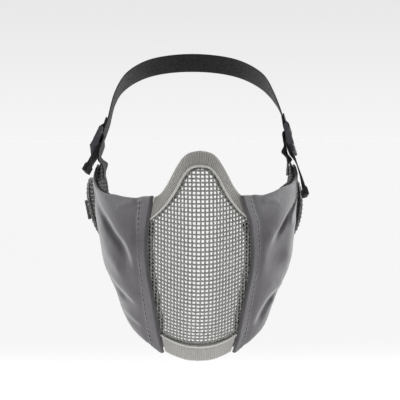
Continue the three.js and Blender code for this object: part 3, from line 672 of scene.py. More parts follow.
def row_number(x, z):
    """How many pitches down the middle line the level wire through (x, z) starts."""
    height = z - climb_at(x, z - climb_at(x, z))
    return np.interp(-height, -fine_z, fine_length) / WIRE_PITCH


def column_number(x):
    """How many pitches round the plan the point at half-width x is."""
    return np.interp(x, fine_x, fine_s) / WIRE_PITCH


# %% one wire of the weave
def longest_run(mask):
    """First and last place of the longest run of True."""
    edges = np.flatnonzero(np.diff(np.concatenate([[0], mask.astype(int), [0]])))
    starts, stops = edges[::2], edges[1::2] - 1
    best = np.argmax(stops - starts)
    return starts[best], stops[best]


def wires(lines, numbers, per_crossing, column):
    """Rods along lines of (x, z), each off the surface by swing * cos(pi (row + column))."""
    paths, ups = [], []
    count = int(max(np.ptp(n) for n in numbers) * per_crossing)
    for line in lines:
        even = np.linspace(0, len(line) - 1, count)
        x, z = (np.interp(even, np.arange(len(line)), line[:, k]) for k in (0, 1))
        normal = front_normal(x, z)
        swing = np.cos(math.pi * (row_number(x, z) + column_number(x))) * (1 if column else -1)
        paths.append(front(x, z) + normal * (WIRE_SWING * swing)[:, None])
        ups.append(normal)
    return rods(np.array(paths), np.array(ups), WIRE_RADIUS)


# %% where each wire runs
MOST_COLUMNS = 17  # each side of the middle
MOST_ROWS = 59
SHORTEST_RUN = 60  # wires with fewer places inside the front than this are left out


def column_lines():
    """Each upright wire's (x, z) places, a pitch apart round the plan."""
    z = fine_z
    for k in range(-MOST_COLUMNS, MOST_COLUMNS + 1):
        x = np.full(len(z), plan_x(k * WIRE_PITCH))
        mask = inside_front(x, z)
        if mask.sum() > SHORTEST_RUN:
            start, stop = longest_run(mask)
            yield np.stack([x, z], -1)[start:stop + 1], row_number(x, z)[start:stop + 1]


def row_lines():
    """Each level wire's (x, z) places, a pitch apart down the middle line."""
    x = np.linspace(-45, 45, 901)
    for k in range(1, MOST_ROWS + 1):
        start_z = np.interp(k * WIRE_PITCH, fine_length, fine_z)
        z = start_z + climb_at(x, start_z)
        mask = inside_front(x, z)
        if mask.sum() > SHORTEST_RUN:
            start, stop = longest_run(mask)
            yield np.stack([x, z], -1)[start:stop + 1], column_number(x)[start:stop + 1]


# %% the front's wires as one piece
def joined(*parts):
    """Several (points, faces) skins as one."""
    points, faces, count = [], [], 0
    for part_points, part_faces in parts:
        points.append(part_points)
        faces.append(part_faces + count)
        count += len(part_points)
    return np.vstack(points), np.vstack(faces)


PER_CROSSING = 4
columns, column_counts = zip(*column_lines())
rows, row_counts = zip(*row_lines())
mesh_front = make_piece(
    "mesh_front",
    *joined(
        wires(columns, column_counts, PER_CROSSING, True), wires(rows, row_counts, PER_CROSSING, False)),
    wire,
)
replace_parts(mesh_front, "mesh_panel")
print(len(columns), "upright wires,", len(rows), "level wires")


# %% [markdown]
# ## Tapes at the nose and the chin
#
# A ribbed tape is folded over each cut edge of the wire, so nothing scratches. Its profile is
# a U: an outer skin from the front's free edge, round the fold and up the back, and an inner skin that
# comes back along it. The profile is carried along the edge, and small ribs run across the tape, as in
# grosgrain. A thin roll finishes the front's free edge.

# %% the folded profile
RIB_HEIGHT = 0.2
ROLL_HEIGHT = 0.7
GROOVE_DEPTH, GROOVE_AT, GROOVE_WIDTH = 0.4, 0.5, 0.4
LEAF_STOPS = [0, 0.05, 0.16, 0.35, 0.55, 0.75, 0.95, 1.15, 1.3, 1.37, 1.42, 1.6, 1.85, 2.1, 2.4, 3]


def u_profile(width, height, far):
    """Distance in from the fold and height off the wire: a leaf, a half circle round (far, 0) of
    radius height, and a leaf back. The stops are distances from the free edge."""
    free = np.concatenate([LEAF_STOPS, np.linspace(LEAF_STOPS[-1], width - far, 8)[1:]])
    angle = np.radians(np.linspace(90, 270, 11))[1:-1]
    inward = np.concatenate([width - free, far + height * np.cos(angle), width - free[::-1]])
    out = np.concatenate([np.full(len(free), height), height * np.sin(angle), np.full(len(free), -height)])
    return inward, out


# %% a tape carried along its edge
def folded_tape(name, rows_of_tape, count):
    """The U profile carried along a tape's rows, mirrored about the middle. The front leaf also has
    ribs of rib * sin(2 pi s / pitch), a groove, and a roll of height sqrt(1 - t^2) at its free edge."""
    near = MESH_HALF + TAPE_GAP
    far = near + TAPE_THICKNESS
    s = np.linspace(-1, 1, count)
    side = np.where(s < 0, -1, 1)
    fold_x, fold_z, free_x, free_z = (look_up(rows_of_tape, c, np.abs(s)) for c in list(rows_of_tape)[1:])
    fold, free = np.stack([side * fold_x, fold_z], -1), np.stack([side * free_x, free_z], -1)
    width, way = np.linalg.norm(free - fold, axis=1), unit(free - fold)
    length = arc_length((fold + free) / 2)[:, None]
    inward, out = (np.array(k) for k in zip(*(u_profile(w, far, far) for w in width)))
    left = width[:, None] - inward
    roll = np.sqrt(np.clip(1 - (2 * left / ROLL_WIDTH - 1) ** 2, 0, 1))
    groove = GROOVE_DEPTH * bell(left - ROLL_WIDTH, GROOVE_AT, GROOVE_WIDTH)
    past_roll = smooth_step(ROLL_WIDTH, ROLL_WIDTH + 0.3, left)
    ribs = RIB_HEIGHT * np.sin(2 * math.pi * length / RIB_PITCH) * past_roll
    in_front = smooth_step(0.3, far, out)
    out = out + in_front * (ROLL_HEIGHT * roll - groove + ribs)
    inner_in, inner_out = (np.array(k) for k in zip(*(u_profile(w, near, far) for w in width)))
    inward = np.concatenate([inward, inner_in[:, ::-1]], axis=1)
    out = np.concatenate([out, inner_out[:, ::-1]], axis=1)
    flat = fold[:, None] + way[:, None] * inward[..., None]
    points = front(flat[..., 0], flat[..., 1]) + front_normal(flat[..., 0], flat[..., 1]) * out[..., None]
    uv = np.stack(np.broadcast_arrays(length, width[:, None] - inward), -1)
    piece = make_piece(name, points, sweep_faces(1, count, inward.shape[1]), tape, uv)
    return piece


# %% both tapes
nose_tape = folded_tape("nose_tape", NOSE_TAPE, 760)
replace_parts(nose_tape, "nose_binding")
chin_tape = folded_tape("chin_tape", CHIN_TAPE, 400)
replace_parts(chin_tape, "chin_binding")


# %% [markdown]
# ## Cheeks
#
# A cheek is one panel of smooth fabric. Its section is a cubic curve: it leaves the hem along the
# front's flank, goes round the cheek and turns in towards the ear. Folds are ridges and valleys along
# short lines in the front view, because that is where such a panel is pulled between the stiff front
# and the strap. They fade out before the rear edge. The hem is the same fabric turned over and sewn
# down, so it stands a little higher, and its stitches gather it. Towards the narrow low end the inner
# skin comes nearer the outer one, so that it can't fold over itself where the panel turns in.

# %% the folds: a line of (x, z) points, how far it spreads at each end, and its ridges and valleys
# each ridge or valley is (distance behind the line, width before, width after, rise)
FOLDS = {
    -1: [
        ([(-79.5, -23), (-72.4, -41.2), (-66.4, -50.6), (-60.2, -60.6), (-54, -68.9), (-49.8, -78),
          (-47, -90)], (0.5, 1.15), [(0, 12, 1.3, 3.8), (2.7, 1.5, 4.6, -7.4)]),
        ([(-77.5, -50), (-73, -66), (-66.5, -80), (-59.8, -90), (-51.8, -101)], (1, 1), [(0, 4.5, 3, 3.8)]),
        ([(-70, -88.5), (-60.7, -100), (-52, -109), (-44.5, -116)],
         (1, 1), [(0, 6, 1.2, 3.2), (2.2, 1.2, 2.6, -4.6)]),
        ([(-66, -97), (-62.5, -107), (-57, -118)], (1, 1), [(0, 3.5, 3, 3)]),
        ([(-56.5, -119), (-47.7, -127.6), (-40.5, -132)], (1, 1), [(0, 3, 1.4, 1.2), (2, 1.4, 2.4, -1.8)]),
        ([(-62, -42.8), (-54, -40.2), (-45.5, -37.4)], (1, 1), [(0, 1.8, 2.8, 0.5), (3, 1.8, 1.8, -0.2)]),
    ],
    1: [
        ([(80, -24), (71.2, -40.6), (65.2, -47.8), (59.6, -56.7), (54.9, -64), (51, -72)],
         (0.5, 1.0), [(0, 12, 1.3, 5), (2.2, 1.2, 2.6, -5)]),
        ([(78, -33), (72.6, -47), (68.2, -58.5)], (1, 1), [(0, 1.8, 1.2, 3.4)]),
        ([(56, -56), (50, -72), (47.5, -85), (46.5, -97)], (1, 1), [(0, 6, 4, 2.2)]),
        ([(80, -34), (77, -46), (73.5, -60)], (1, 1), [(0, 3, 2, 3.5)]),
        ([(76.5, -48), (74, -66), (70, -81), (64.5, -94)], (0.8, 1), [(0, 8.5, 2, 11)]),
        ([(70, -88), (65, -96.5), (57.5, -104)], (1, 1), [(0, 3.4, 2, 1.5)]),
        ([(63, -101), (53, -108.8), (45.8, -119), (39, -133)],
         (1, 1), [(0, 7, 1.8, 2.2), (2.8, 1.6, 3.4, -6)]),
        ([(67, -99), (60, -109), (52, -121)], (1, 1), [(0, 3.5, 3, 5)]),
        ([(60, -38), (51, -37.6), (43, -39.5)], (1, 1), [(0, 2, 2, 0.6), (2.8, 1.6, 1.6, -0.2)]),
    ],
}


# %% how far the folds stand out
FOLD_IN, FOLD_OUT = (0, 0.2), (0.66, 1)  # shares of a fold's line over which it fades in and out
REAR_CALM = (0.7, 0.9)  # shares of the way to the rear over which all folds fade
POINTS_PER_STRETCH = 6


def beside(path, x, z):
    """Distance from a line of (x, z) points, over 0 on its left, and the share of it passed: the
    nearest point of each stretch a..b is a + t (b - a), t = clip((p - a) . (b - a) / |b - a|^2)."""
    a, way = path[:-1], np.diff(path, axis=0)
    to = np.stack([x, z], -1)[..., None, :] - a
    t = np.clip((to * way).sum(-1) / (way**2).sum(-1), 0, 1)
    away = to - t[..., None] * way
    nearest = np.linalg.norm(away, axis=-1).argmin(-1)[..., None]
    turn = way[:, 0] * to[..., 1] - way[:, 1] * to[..., 0]
    passed = arc_length(path)[:-1] + t * np.linalg.norm(way, axis=1)
    away, turn, passed = (np.take_along_axis(values, nearest, -1)[..., 0]
                          for values in (np.linalg.norm(away, axis=-1), turn, passed))
    return away * np.sign(turn), passed / arc_length(path)[-1]


def fold_lift(side, u, x, z):
    """How far folds stand out towards the viewer: the sum of rise exp(-((d - d0) / width)^2), with
    one width before d0 and one after. d is the distance behind the line over the fold's spread. A
    fold fades in over a fifth of its line and out over a third, and none reaches the rear edge."""
    total = np.zeros_like(x)
    for points, spread, bumps in FOLDS[side]:
        away, passed = beside(along_curve(points, POINTS_PER_STRETCH), x, z)
        away = away / (spread[0] + (spread[1] - spread[0]) * passed)
        fade = smooth_step(*FOLD_IN, passed) * (1 - smooth_step(*FOLD_OUT, passed))
        for centre, before, after, rise in bumps:
            past = away * side - centre
            total += rise * fade * bell(past, 0, np.where(past > 0, after, before))
    return total * (1 - smooth_step(*REAR_CALM, u))


# %% the cheek's surface
# left and right are as seen from the front; at its top the right hem leans in, over the nose tape
LEAN, LEAN_AT, LEAN_OVER = 5.4, -34, 22
OVER_TAPE, OVER_TAPE_FROM = 1.8, (-64, -52)


def hem_edge(side, z):
    """x of the hem's edge at height z, less a bell where it leans in."""
    lean = LEAN * bell(z, LEAN_AT, LEAN_OVER) * (side > 0)
    return look_up(HEM_LINE, "x", z) + GAP - lean


def cheek_base(side, u, v):
    """The cubic (1-u)^3 p0 + 3u (1-u)^2 p1 + 3u^2 (1-u) p2 + u^3 p3, from hem to rear, in the section
    at v. p0 stands clear of the wire by its normal, p1 lies a reach from it along the flank, p3 is
    the rear edge, and p2 lies a reach before it, turned in by the table's angle."""
    u, v = np.broadcast_arrays(np.asarray(u, float), np.asarray(v, float))
    at = {c: look_up(CHEEK, c, v) for c in list(CHEEK)[1:]}
    hem_x = hem_edge(side, at["front_z"])
    p0 = front(hem_x, at["front_z"])
    over_tape = OVER_TAPE * smooth_step(*OVER_TAPE_FROM, at["front_z"]) * (side > 0)
    clear = MESH_HALF + FABRIC_HALF + HEM_CLEARANCE + over_tape
    p0 = p0 + front_normal(hem_x, at["front_z"]) * clear[..., None]
    p3 = np.stack([at["rear_x"], at["rear_y"], at["rear_z"]], -1)
    turn, reach = np.radians(at["turn_in"]), at["front_reach"]
    leave = np.stack([math.cos(FLANK) * reach, math.sin(FLANK) * reach, at["front_lift"]], -1)
    arrive = [np.sin(turn) * at["rear_reach"] + side * at["sway"], -np.cos(turn) * at["rear_reach"]]
    pull = bell(v, 0, CORNER_FADE)[..., None]
    p1 = p0 + leave + pull * np.array(CORNERS[side][0])
    p2 = p3 + np.stack([*arrive, at["rear_lift"]], -1) + pull * np.array(CORNERS[side][1])
    p3 = p3 + np.stack([side * at["rear_sway"], 0 * v, 0 * v], -1)
    u = u[..., None]
    points = (1 - u) ** 3 * p0 + 3 * u * (1 - u) ** 2 * p1 + 3 * u**2 * (1 - u) * p2 + u**3 * p3
    return points * np.array([side, 1, 1])


def travelled(grid, axis):
    """The distance from each row's or column's start along it."""
    steps = np.linalg.norm(np.diff(grid, axis=axis, prepend=grid.take([0], axis)), axis=-1)
    return np.cumsum(steps, axis=axis)


def outward(points, side):
    """Normals of a grid of points, on the side away from the head."""
    normal = unit(np.cross(np.gradient(points, axis=1), np.gradient(points, axis=0)))
    facing = np.sign(np.median(normal[..., 0]) * side)
    return normal * facing


# %% the hem's relief, counted from its edge and from its line of stitches
STITCH_PITCH = 4.0
HEM_ROLL = 0.8  # how far in the turned edge is rounded
HEM_AT_EDGE, HEM_FALL = 1.6, 1.1  # shares of HEM_EXTRA at the edge, and lost on the way to the seam
HEM_ENDS = (0.5, 1.6)
SEAM_DEPTH, SEAM_WIDTH = 0.22, 0.5
PULL_DEPTH, PULL_AT, PULL_WIDTH = 0.16, 3.2, 3
PULL_FROM = (0, 2.5)
PUCKER, GATHER_AT, GATHER_WIDTH = 0.24, 0.4, 2.2
LIP_FADE = 0.008  # share of the panel's height over which its top and low edges thin


def hem_relief(distance, down, stitch, v):
    """Height of the outer skin: (half thickness + hem step) on a quarter-round edge, times a lip that
    halves it at the top and the low end, less bells for the seam's groove and for the pull behind
    it, plus a sine pucker for each stitch. The pucker's wave drifts a little along the seam."""
    roll = np.sqrt(np.clip(1 - (1 - np.minimum(distance, HEM_ROLL) / HEM_ROLL) ** 2, 0, 1))
    past = distance - stitch
    slope = HEM_AT_EDGE - HEM_FALL * np.clip(distance / stitch, 0, 1)
    hem = HEM_EXTRA * slope * (1 - smooth_step(*HEM_ENDS, past))
    groove = SEAM_DEPTH * bell(past, 0, SEAM_WIDTH)
    pull = PULL_DEPTH * bell(past, PULL_AT, PULL_WIDTH) * smooth_step(*PULL_FROM, past)
    gather = bell(past, GATHER_AT, GATHER_WIDTH) * (0.6 + 0.4 * np.sin(down / 5.3))
    pucker = PUCKER * np.sin(2 * math.pi * down / STITCH_PITCH + 0.8 * np.sin(down / 7.1)) * gather
    lip = 1 - 0.5 * bell(v, 0, LIP_FADE) - 0.5 * bell(1 - v, 0, LIP_FADE)
    return (FABRIC_HALF * (0.35 + 0.65 * roll) + hem * roll) * lip - groove - pull + pucker


# %% a panel with its turned hem
DIP, DIP_AT, DIP_WIDTH = 1.5, 46, 5
RIPPLE, RIPPLE_LENGTH = 0.5, 3.1
DIP_FADE, DIP_FROM = 0.03, (33, 40)
LOW_END, LOW_END_THINNER = (0.78, 0.88), 0.6
panel_us = np.concatenate([np.linspace(0, 0.15, 44)[:-1], np.linspace(0.15, 1, 116)])
panel_vs = np.linspace(0, 1, 190)


def top_dip(x, v):
    """How far the top edge sags between hem and buckle: a bell less a ripple sin(x / length), which
    fades down the panel and begins behind the hem."""
    dip = DIP * bell(x, DIP_AT, DIP_WIDTH) - RIPPLE * np.sin(x / RIPPLE_LENGTH)
    return dip * bell(v, 0, DIP_FADE) * smooth_step(*DIP_FROM, x)


def cheek_panel(name, side):
    """The wall between two offsets of the folded cheek, and the line of its hem's stitches. The outer
    skin stands off by the hem's relief, the inner one by half a thickness that falls at the low end."""
    u, v = np.meshgrid(panel_us, panel_vs)
    base = cheek_base(side, u, v)
    base[..., 2] -= top_dip(np.abs(base[..., 0]), v)
    normal = outward(base, side)
    fold = fold_lift(side, u, base[..., 0], base[..., 2])
    middle = base - fold[..., None] * np.array([0, 1, 0])
    distance = travelled(base, 1)
    down = arc_length(base[:, 0])[:, None]
    stitch = look_up(SEAM_LINE, "left" if side < 0 else "right", base[:, :1, 2])
    outer = middle + normal * hem_relief(distance, down, stitch, v)[..., None]
    thinner = 1 - LOW_END_THINNER * smooth_step(*LOW_END, v)
    inner = middle - normal * (FABRIC_HALF * thinner)[..., None]
    points = np.concatenate([outer.reshape(-1, 3), inner.reshape(-1, 3)])
    flat_uv = np.stack(np.broadcast_arrays(distance, down), -1).reshape(-1, 2)
    piece = make_piece(name, points, wall_faces(*u.shape), fabric, np.concatenate([flat_uv, flat_uv]))
    at_stitch = lambda grid: np.array([
        [np.interp(at, along, row[:, k]) for k in range(3)]
        for at, along, row in zip(stitch[:, 0], distance, grid)
    ])
    return piece, at_stitch(outer), at_stitch(normal)


# %% the stitches along a hem
def seam(name, line, ways, pitch=STITCH_PITCH, share=0.62):
    """Stitches every pitch along a line; each covers a share of it."""
    length = arc_length(line)
    starts = np.arange(pitch, length[-1] - pitch, pitch)
    at = lambda s, values: np.stack([np.interp(s, length, values[:, k]) for k in range(3)], -1)
    parts = threads(at(starts, line), at(starts + share * pitch, line), unit(at(starts, ways)))
    piece = make_piece(name, *parts, thread)
    return piece


# %% both cheeks
SIDES = {"left": -1, "right": 1}
for which, sign in SIDES.items():
    panel, line, ways = cheek_panel(f"cheek_{which}", sign)
    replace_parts(panel, f"cheek_panel_{which}")
    stitches = seam(f"hem_stitches_{which}", line, ways)


# %% [markdown]
# ## Facings
#
# Bare wire ends would scratch, so a dark tape faces the edge of the wire cloth on the wearer's side. It
# shows as a dark line just inside each hem, which stands in as painted shade between the hem and the
# mesh. It lies flat behind the mesh, then rises to meet the cheek where the seam holds them together.

# %% the facings: where each starts and ends, counted in x from the hem's edge; they clear both tapes
FACING_HALF = 0.3
FACING_CLEAR = 0.15  # between the facing and the backs of the wires
FACING_RISE = (4.6, 7.8)
FACING_FORWARD = 1.6
FACING = table(
    "z left right far",
    (-38.3, -0.3, 4.9, 7.5), (-51.3, 0, 3.2, 7.5), (-53.5, -1.5, -1.5, 7.5), (-134.5, -1.5, -1.5, 7.5),
    (-136.5, -0.2, -0.2, 7), (-144, -0.2, -0.2, 5.3), (-149.3, -0.3, -0.3, 3.2),
)


# the facing is a real tape, and its dark line beside the hem is also painted shade between hem and mesh
def edge_facing_and_shade(name, which, side):
    """A wall on the front's surface, f from the hem's edge: it stands a wire's reach behind the mesh,
    swing + radius + half its thickness + clearance, and comes forward past the wires' ends."""
    share, z = np.meshgrid(np.linspace(0, 1, 28), np.linspace(FACING["z"][0], FACING["z"][-1], 120))
    near = look_up(FACING, which, z)
    lean = look_up(HEM_LINE, "x", z) + GAP - hem_edge(side, z)
    f = near + share * (look_up(FACING, "far", z) + lean - near)
    x = hem_edge(side, z) + f
    behind = WIRE_SWING + WIRE_RADIUS + FACING_HALF + FACING_CLEAR
    height = FACING_FORWARD * smooth_step(*FACING_RISE, x - look_up(HEM_LINE, "x", z)) - behind
    middle = front(x, z) + front_normal(x, z) * height[..., None]
    half = front_normal(x, z) * FACING_HALF
    points = np.concatenate([(middle + half).reshape(-1, 3), (middle - half).reshape(-1, 3)])
    points = points * np.array([side, 1, 1])
    flat_uv = np.stack([f / math.cos(FLANK), z], -1).reshape(-1, 2)
    return make_piece(name, points, wall_faces(*f.shape), webbing, np.concatenate([flat_uv, flat_uv]))


for which, sign in SIDES.items():
    edge_facing_and_shade(f"edge_facing_and_shade_{which}", which, sign)


# %% [markdown]
# ## Linings
#
# A dark spacer mesh lines the rear of each cheek and keeps the fabric off the skin. It is a wall on the
# same curves as the cheek, set inside it. Its holes are a honeycomb in the finish, on its own uv. It
# follows the lowest of three fold heights near each place, so the cheek's steep folds never reach it.

# %% the linings
LINING_FRONT = 0.328  # where it starts, as a share of the way from hem to rear
LINING_LOW = 0.6  # how far down it reaches, as a share of the cheek's height
TOP_BELOW, TOP_RISE, TOP_RISES = 0.02, 0.026, (0.33, 0.55)
NEARBY = (0, -1.2, -2.4)  # how far to the side the three fold heights are read


def cheek_lining(name, side):
    """A wall that stands inside the folded cheek by half its thickness and the gap. Its top edge
    starts below the cheek's in front and rises just past it towards the rear."""
    u, v = np.meshgrid(np.linspace(LINING_FRONT, 1, 110), np.linspace(0, LINING_LOW, 120))
    v = v + (TOP_BELOW - TOP_RISE * smooth_step(*TOP_RISES, u)) * (1 - v / LINING_LOW)
    base = cheek_base(side, u, v)
    normal = outward(base, side)
    beside_it = [fold_lift(side, u, base[..., 0] + side * out, base[..., 2]) for out in NEARBY]
    folded = base - np.minimum.reduce(beside_it)[..., None] * np.array([0, 1, 0])
    outer = folded - normal * (FABRIC_HALF + LINING_GAP)
    inner = outer - normal * LINING_THICKNESS
    flat_uv = np.stack([travelled(base, 1), travelled(base, 0)], -1).reshape(-1, 2)
    points = np.concatenate([outer.reshape(-1, 3), inner.reshape(-1, 3)])
    piece = make_piece(name, points, wall_faces(*u.shape), lining, np.concatenate([flat_uv, flat_uv]))
    return piece


for which, sign in SIDES.items():
    piece = cheek_lining(f"lining_{which}", sign)
    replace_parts(piece, f"cheek_lining_{which}")


# %% [markdown]
# ## Ear guards
#
# Each guard is a shallow oval dome of the same wire cloth. Its wires are laid a pitch apart in the side
# view and end in a rolled rim. They swing further at each crossing than the front's do, so they sink
# into each other only a little.

# %% dome and weave
EAR = dict(y=105, z=-46.3, half_length=31, half_height=24, lean_y=-0.14)
EAR_WIRE = 0.72
EAR_SWING = 0.6
EAR_STATIONS = 68
RIM_IN, RIM_RADIUS, RIM_SIDES, RIM_STATIONS = 0.6, 0.8, 8, 145
EAR_SET = {"left": dict(x=76.2, lean_z=0.23, dome=4.2), "right": dict(x=74.9, lean_z=0.09, dome=4.6)}


def ear_surface(which, y, z):
    """x = x0 + lean_z z + lean_y y + dome (1 - r^4), r^2 = (y / a)^2 + (z / b)^2 about the centre."""
    setting = EAR_SET[which]
    rise = setting["dome"] * (1 - ((y / EAR["half_length"]) ** 2 + (z / EAR["half_height"]) ** 2) ** 2)
    x = setting["x"] + setting["lean_z"] * z + EAR["lean_y"] * y + rise
    return np.stack([SIDES[which] * x, EAR["y"] + y, EAR["z"] + z], -1)


def ear_guard(name, which):
    """Rods across and along an ellipse of half-axes a and b. A wire a distance d from the middle ends
    at sqrt(1 - (d / a)^2) of the other half-axis. The rim is one rod bent round until its ends meet."""
    side = SIDES[which]
    a, b = EAR["half_length"] - RIM_IN, EAR["half_height"] - RIM_IN
    parts = []
    for across, span, other in ((True, a, b), (False, b, a)):
        count = int(span / WIRE_PITCH)
        fixed = np.arange(-count, count + 1) * WIRE_PITCH
        ends_at = other * np.sqrt(np.maximum(1 - (fixed / span) ** 2, 0.01))
        moving = np.linspace(-1, 1, EAR_STATIONS)[None] * ends_at[:, None]
        still = np.broadcast_to(fixed[:, None], moving.shape)
        y, z = (still, moving) if across else (moving, still)
        points = ear_surface(which, y, z)
        slope_y = ear_surface(which, y + 0.01, z) - ear_surface(which, y - 0.01, z)
        slope_z = ear_surface(which, y, z + 0.01) - ear_surface(which, y, z - 0.01)
        normal = unit(np.cross(slope_y, slope_z)) * side
        swing = np.cos(math.pi * (y + z) / WIRE_PITCH) * (1 if across else -1)
        parts.append(rods(points + normal * (EAR_SWING * swing)[..., None], normal, EAR_WIRE))
    angle = np.linspace(0, 2 * math.pi, RIM_STATIONS)
    rim = ear_surface(which, a * np.cos(angle), b * np.sin(angle))[None]
    parts.append(rods(rim, np.broadcast_to([side, 0, 0], rim.shape), RIM_RADIUS, RIM_SIDES))
    piece = make_piece(name, *joined(*parts), shaded_ear_wire)
    return piece


for which in SIDES:
    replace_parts(ear_guard(f"ear_mesh_{which}", which), f"ear_guard_{which}")


# %% [markdown]
# ## Buckles and patch
#
# These are hard pieces whose shape is already right. A merged copy of each gets its sharp edges rounded
# by a small bevel, because a moulded edge always catches a thin line of light. The patch stays bare.

# %% rounded copies of the hard nodes
MERGE_WITHIN = 1e-6  # metres
SHARP = math.radians(28)


def rounded(name, source, radius, material):
    """A copy of a node's mesh with doubles merged and its sharp edges bevelled."""
    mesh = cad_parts[source].data.copy()
    mesh.name = name
    piece = bpy.data.objects.new(name, mesh)
    bpy.context.scene.collection.objects.link(piece)
    mesh.materials.clear()
    mesh.materials.append(material)
    weld = piece.modifiers.new("weld", "WELD")
    weld.merge_threshold = MERGE_WITHIN
    bevel = piece.modifiers.new("bevel", "BEVEL")
    bevel.width = radius * MM
    bevel.segments = 2
    bevel.limit_method = "ANGLE"
    bevel.angle_limit = SHARP
    bevel.use_clamp_overlap = True
    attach(piece, "root")
    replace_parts(piece, source)
    return piece


for which in SIDES:
    rounded(f"ladder_lock_{which}", f"buckle_{which}", 0.28, plastic)
rounded("guard_patch", "ear_patch", 0.3, rubber)


# %% [markdown]
# ## Webbing and head strap
#
# Webbing is flat and keeps its width, so it is modelled directly: a rounded flat ring carried along the
# route. The route is worked out in each buckle's own plane, up the strap (u) and outward (n), because
# that is how it is threaded: up behind the buckle, over the centre bar, and out under the lip.

# %% a buckle's own plane
# twist turns the webbing's free tail and open turns the stretch below the buckle, both in degrees
BUCKLES = {
    "left": dict(
        sign=-1, facing=0.03, centre=(-75.8, 88.4, 5.2), up=(0.28, 0.48, 0.83), sag=2.9, twist=0, open=0,
        tail=[(-80.1, 82.3, -7.4), (-82.4, 81.5, -11.4), (-85.8, 80.5, -17.6)],
    ),
    "right": dict(
        sign=1, facing=-0.25, centre=(72.4, 89, 7.8), up=(-0.1, 0.48, 0.87), sag=2.4, twist=-12, open=-24,
        tail=[(76.0, 81.6, -6.5), (79, 77, -16), (81.5, 72.2, -26), (83.9, 69.8, -36)],
    ),
}


def buckle_plane(sign, facing, centre, up, **unused):
    """Unit ways up the strap and outward, the way across them, and a function from (u, n)."""
    up_strap = unit(np.array(up, float))
    out = np.array([sign, facing, 0.0])
    out = unit(out - up_strap * (out @ up_strap))
    place = lambda u, n: np.array(centre) + np.multiply.outer(u, up_strap) + np.multiply.outer(n, out)
    return np.cross(up_strap, out), place


def round_bar(place, u, n, radius, start, stop, count=6):
    """Points on an arc in the buckle's plane, angles in degrees."""
    angle = np.radians(np.linspace(start, stop, count + 1))
    return place(u + radius * np.cos(angle), n + radius * np.sin(angle))


# %% the adjusting webbing: places in (u, n), and where on the cheek, as (u, v), it is sewn
SEWN_AT = [(0.86, 0.025), (0.92, -0.03)]
BEHIND_BUCKLE = [(-9.6, -3.75), (-5, -3.75), (-1, -3.75)]
CENTRE_BAR = dict(u=1.2, n=-0.7, radius=3.05, start=-90, stop=90)
UNDER_LIP = [(-0.2, 2.3), (-1.6, 1.2), (-2.6, -0.5), (-3.8, -1.9), (-5.4, -2.2), (-7.4, -2), (-9.2, -1.6)]
RING_STEP = 0.9
SEAM_STAYS_FLAT = 2
BUCKLE_FOOT = -9
TAIL_TWISTS_OVER = 26
FOLDED_END = dict(length=6.5, thickness=3.6, step=0.6)


def adjuster(name, buckle):
    """The strap from the cheek's top corner through the buckle to its free end. It starts inset from
    the cheek's surface, and its way across goes from the cheek's own to the buckle's as
    flat + (across - flat) blend, then turns about the path by the twist: w cos + (along x w) sin."""
    side = buckle["sign"]
    across, place = buckle_plane(**buckle)
    layers = FABRIC_HALF + LINING_GAP + LINING_THICKNESS
    inset = layers + GAP + buckle["sag"] + WEBBING_THICKNESS / 2
    cheek = lambda u, v: cheek_base(side, u, v)
    sewn, flats = [], []
    for u, v in SEWN_AT:
        flat = unit(cheek(u + 0.05, v) - cheek(u - 0.05, v))
        inward = unit(np.cross(flat, unit(cheek(u, v + 0.05) - cheek(u, v - 0.05))))
        inward = -inward if inward[0] * side > 0 else inward
        sewn.append(cheek(u, v) + inward * inset)
        flats.append(flat)
    before_bar = [*sewn, *(place(u, n) for u, n in BEHIND_BUCKLE)]
    points = [*before_bar, *round_bar(place, **CENTRE_BAR), *(place(u, n) for u, n in UNDER_LIP)]
    points += [np.array(p, float) for p in buckle["tail"]]
    chords = np.linalg.norm(np.diff(points, axis=0), axis=1)
    spans = np.maximum(2, np.round(chords / RING_STEP)).astype(int)
    path = along_curve(points, spans)
    flat = flats[0] if flats[0] @ across > 0 else -flats[0]
    blend = smooth_step(sewn[1][2] + SEAM_STAYS_FLAT, place(BUCKLE_FOOT, 0)[2], path[:, 2])
    blend[spans[:len(before_bar)].sum():] = 1
    ways = flat + (across - flat) * blend[:, None]
    left = arc_length(path)[-1] - arc_length(path)
    twist = np.radians(buckle["twist"]) * (1 - smooth_step(0, TAIL_TWISTS_OVER, left))[:, None]
    twist = twist + np.radians(buckle["open"]) * np.sin(math.pi * blend ** 0.7)[:, None]
    ways = ways * np.cos(twist) + np.cross(unit(np.gradient(path, axis=0)), ways) * np.sin(twist)
    folded = 1 - smooth_step(FOLDED_END["length"] - FOLDED_END["step"], FOLDED_END["length"], left)
    thickness = WEBBING_THICKNESS + (FOLDED_END["thickness"] - WEBBING_THICKNESS) * folded
    points, faces, uv = flat_strap(path, ways, thickness)
    piece = make_piece(name, points, faces, webbing, uv)
    return piece


for which, buckle in BUCKLES.items():
    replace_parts(adjuster(f"webbing_{which}", buckle), f"adjuster_webbing_{which}")


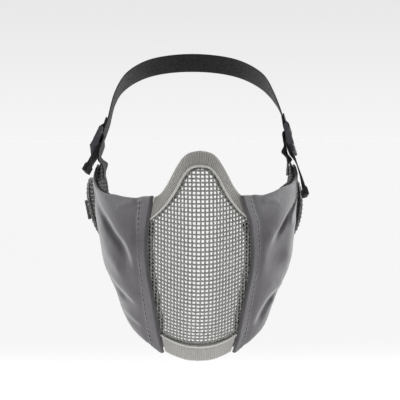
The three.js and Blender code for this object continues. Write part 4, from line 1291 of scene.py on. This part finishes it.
# %% the head strap: its route over one half of the head, with the way outwards at each place
STRAP_ROUTE = stations(
    "x y z out_x out_y out_z",
    (63.6, 117, 40, 0.94, 0.2, 0.28), (54.5, 145, 55, 0.8, 0.5, 0.33),
    (36, 171, 66, 0.52, 0.78, 0.34), (12.5, 185, 70.6, 0.18, 0.92, 0.34),
)
SEWN_STUB = [(19.5, -0.7), (16, -0.7), (13.4, -0.6), (11.4, 0.9), (9.6, 2)]
TOP_BAR_U = 8.1
TOP_TURN = dict(u=TOP_BAR_U - 0.45, n=0, radius=2, start=90, stop=270)
STRAP_UP = [(10, -2.1), (13, -2.1), (16, -2.1), (20, -2.1)]
END_STEPS, ROUTE_STEPS = 6, 24  # rings on each stretch at the buckles and round the head


def strap_end(place):
    """A sewn stub, the turn round the top bar, and the way up, all in the buckle's (u, n)."""
    turn = round_bar(place, **TOP_TURN)[1:]
    return [*(place(u, n) for u, n in SEWN_STUB), *turn, *(place(u, n) for u, n in STRAP_UP)]


def head_strap():
    """One strap from buckle to buckle. Round the head its way across is along x out, so it lies flat
    on the head; at a buckle it is the buckle's own; between them it is held + (free - held) blend."""
    planes = {which: buckle_plane(**buckle) for which, buckle in BUCKLES.items()}
    ends = {which: strap_end(place) for which, (across, place) in planes.items()}
    route = np.stack([STRAP_ROUTE[c] for c in "xyz"], -1)
    points = [*ends["left"], *(route * [-1, 1, 1]), *route[::-1], *ends["right"][::-1]]
    spans = np.full(len(points) - 1, END_STEPS)
    spans[len(ends["left"]) - 1:len(points) - len(ends["right"])] = ROUTE_STEPS
    path = along_curve(points, spans)
    half, side = np.abs(path[:, 0]), np.where(path[:, 0] < 0, -1, 1)
    keys = ["x", "out_x", "out_y", "out_z"]
    by_width = table(" ".join(keys), *zip(*(STRAP_ROUTE[key] for key in keys)))
    out = np.stack([look_up(by_width, key, half) for key in keys[1:]], -1)
    out[:, 0] *= side
    free = unit(-np.cross(out, unit(np.gradient(path, axis=0))))
    held = np.where(side[:, None] < 0, planes["left"][0], -planes["right"][0])
    leaves = {which: place(STRAP_UP[-1][0], 0)[1] for which, (across, place) in planes.items()}
    start = np.where(side < 0, leaves["left"], leaves["right"])
    blend = smooth_step(start, STRAP_ROUTE["y"][1], path[:, 1])
    ways = held * (1 - blend[:, None]) + free * blend[:, None]
    strap_points, faces, uv = flat_strap(path, ways, WEBBING_THICKNESS)
    piece = make_piece("strap_round_head", strap_points, faces, webbing, uv)
    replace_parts(piece, "head_strap")
    print("head strap", round(arc_length(path)[-1]), "mm long")
    return piece


head_strap()
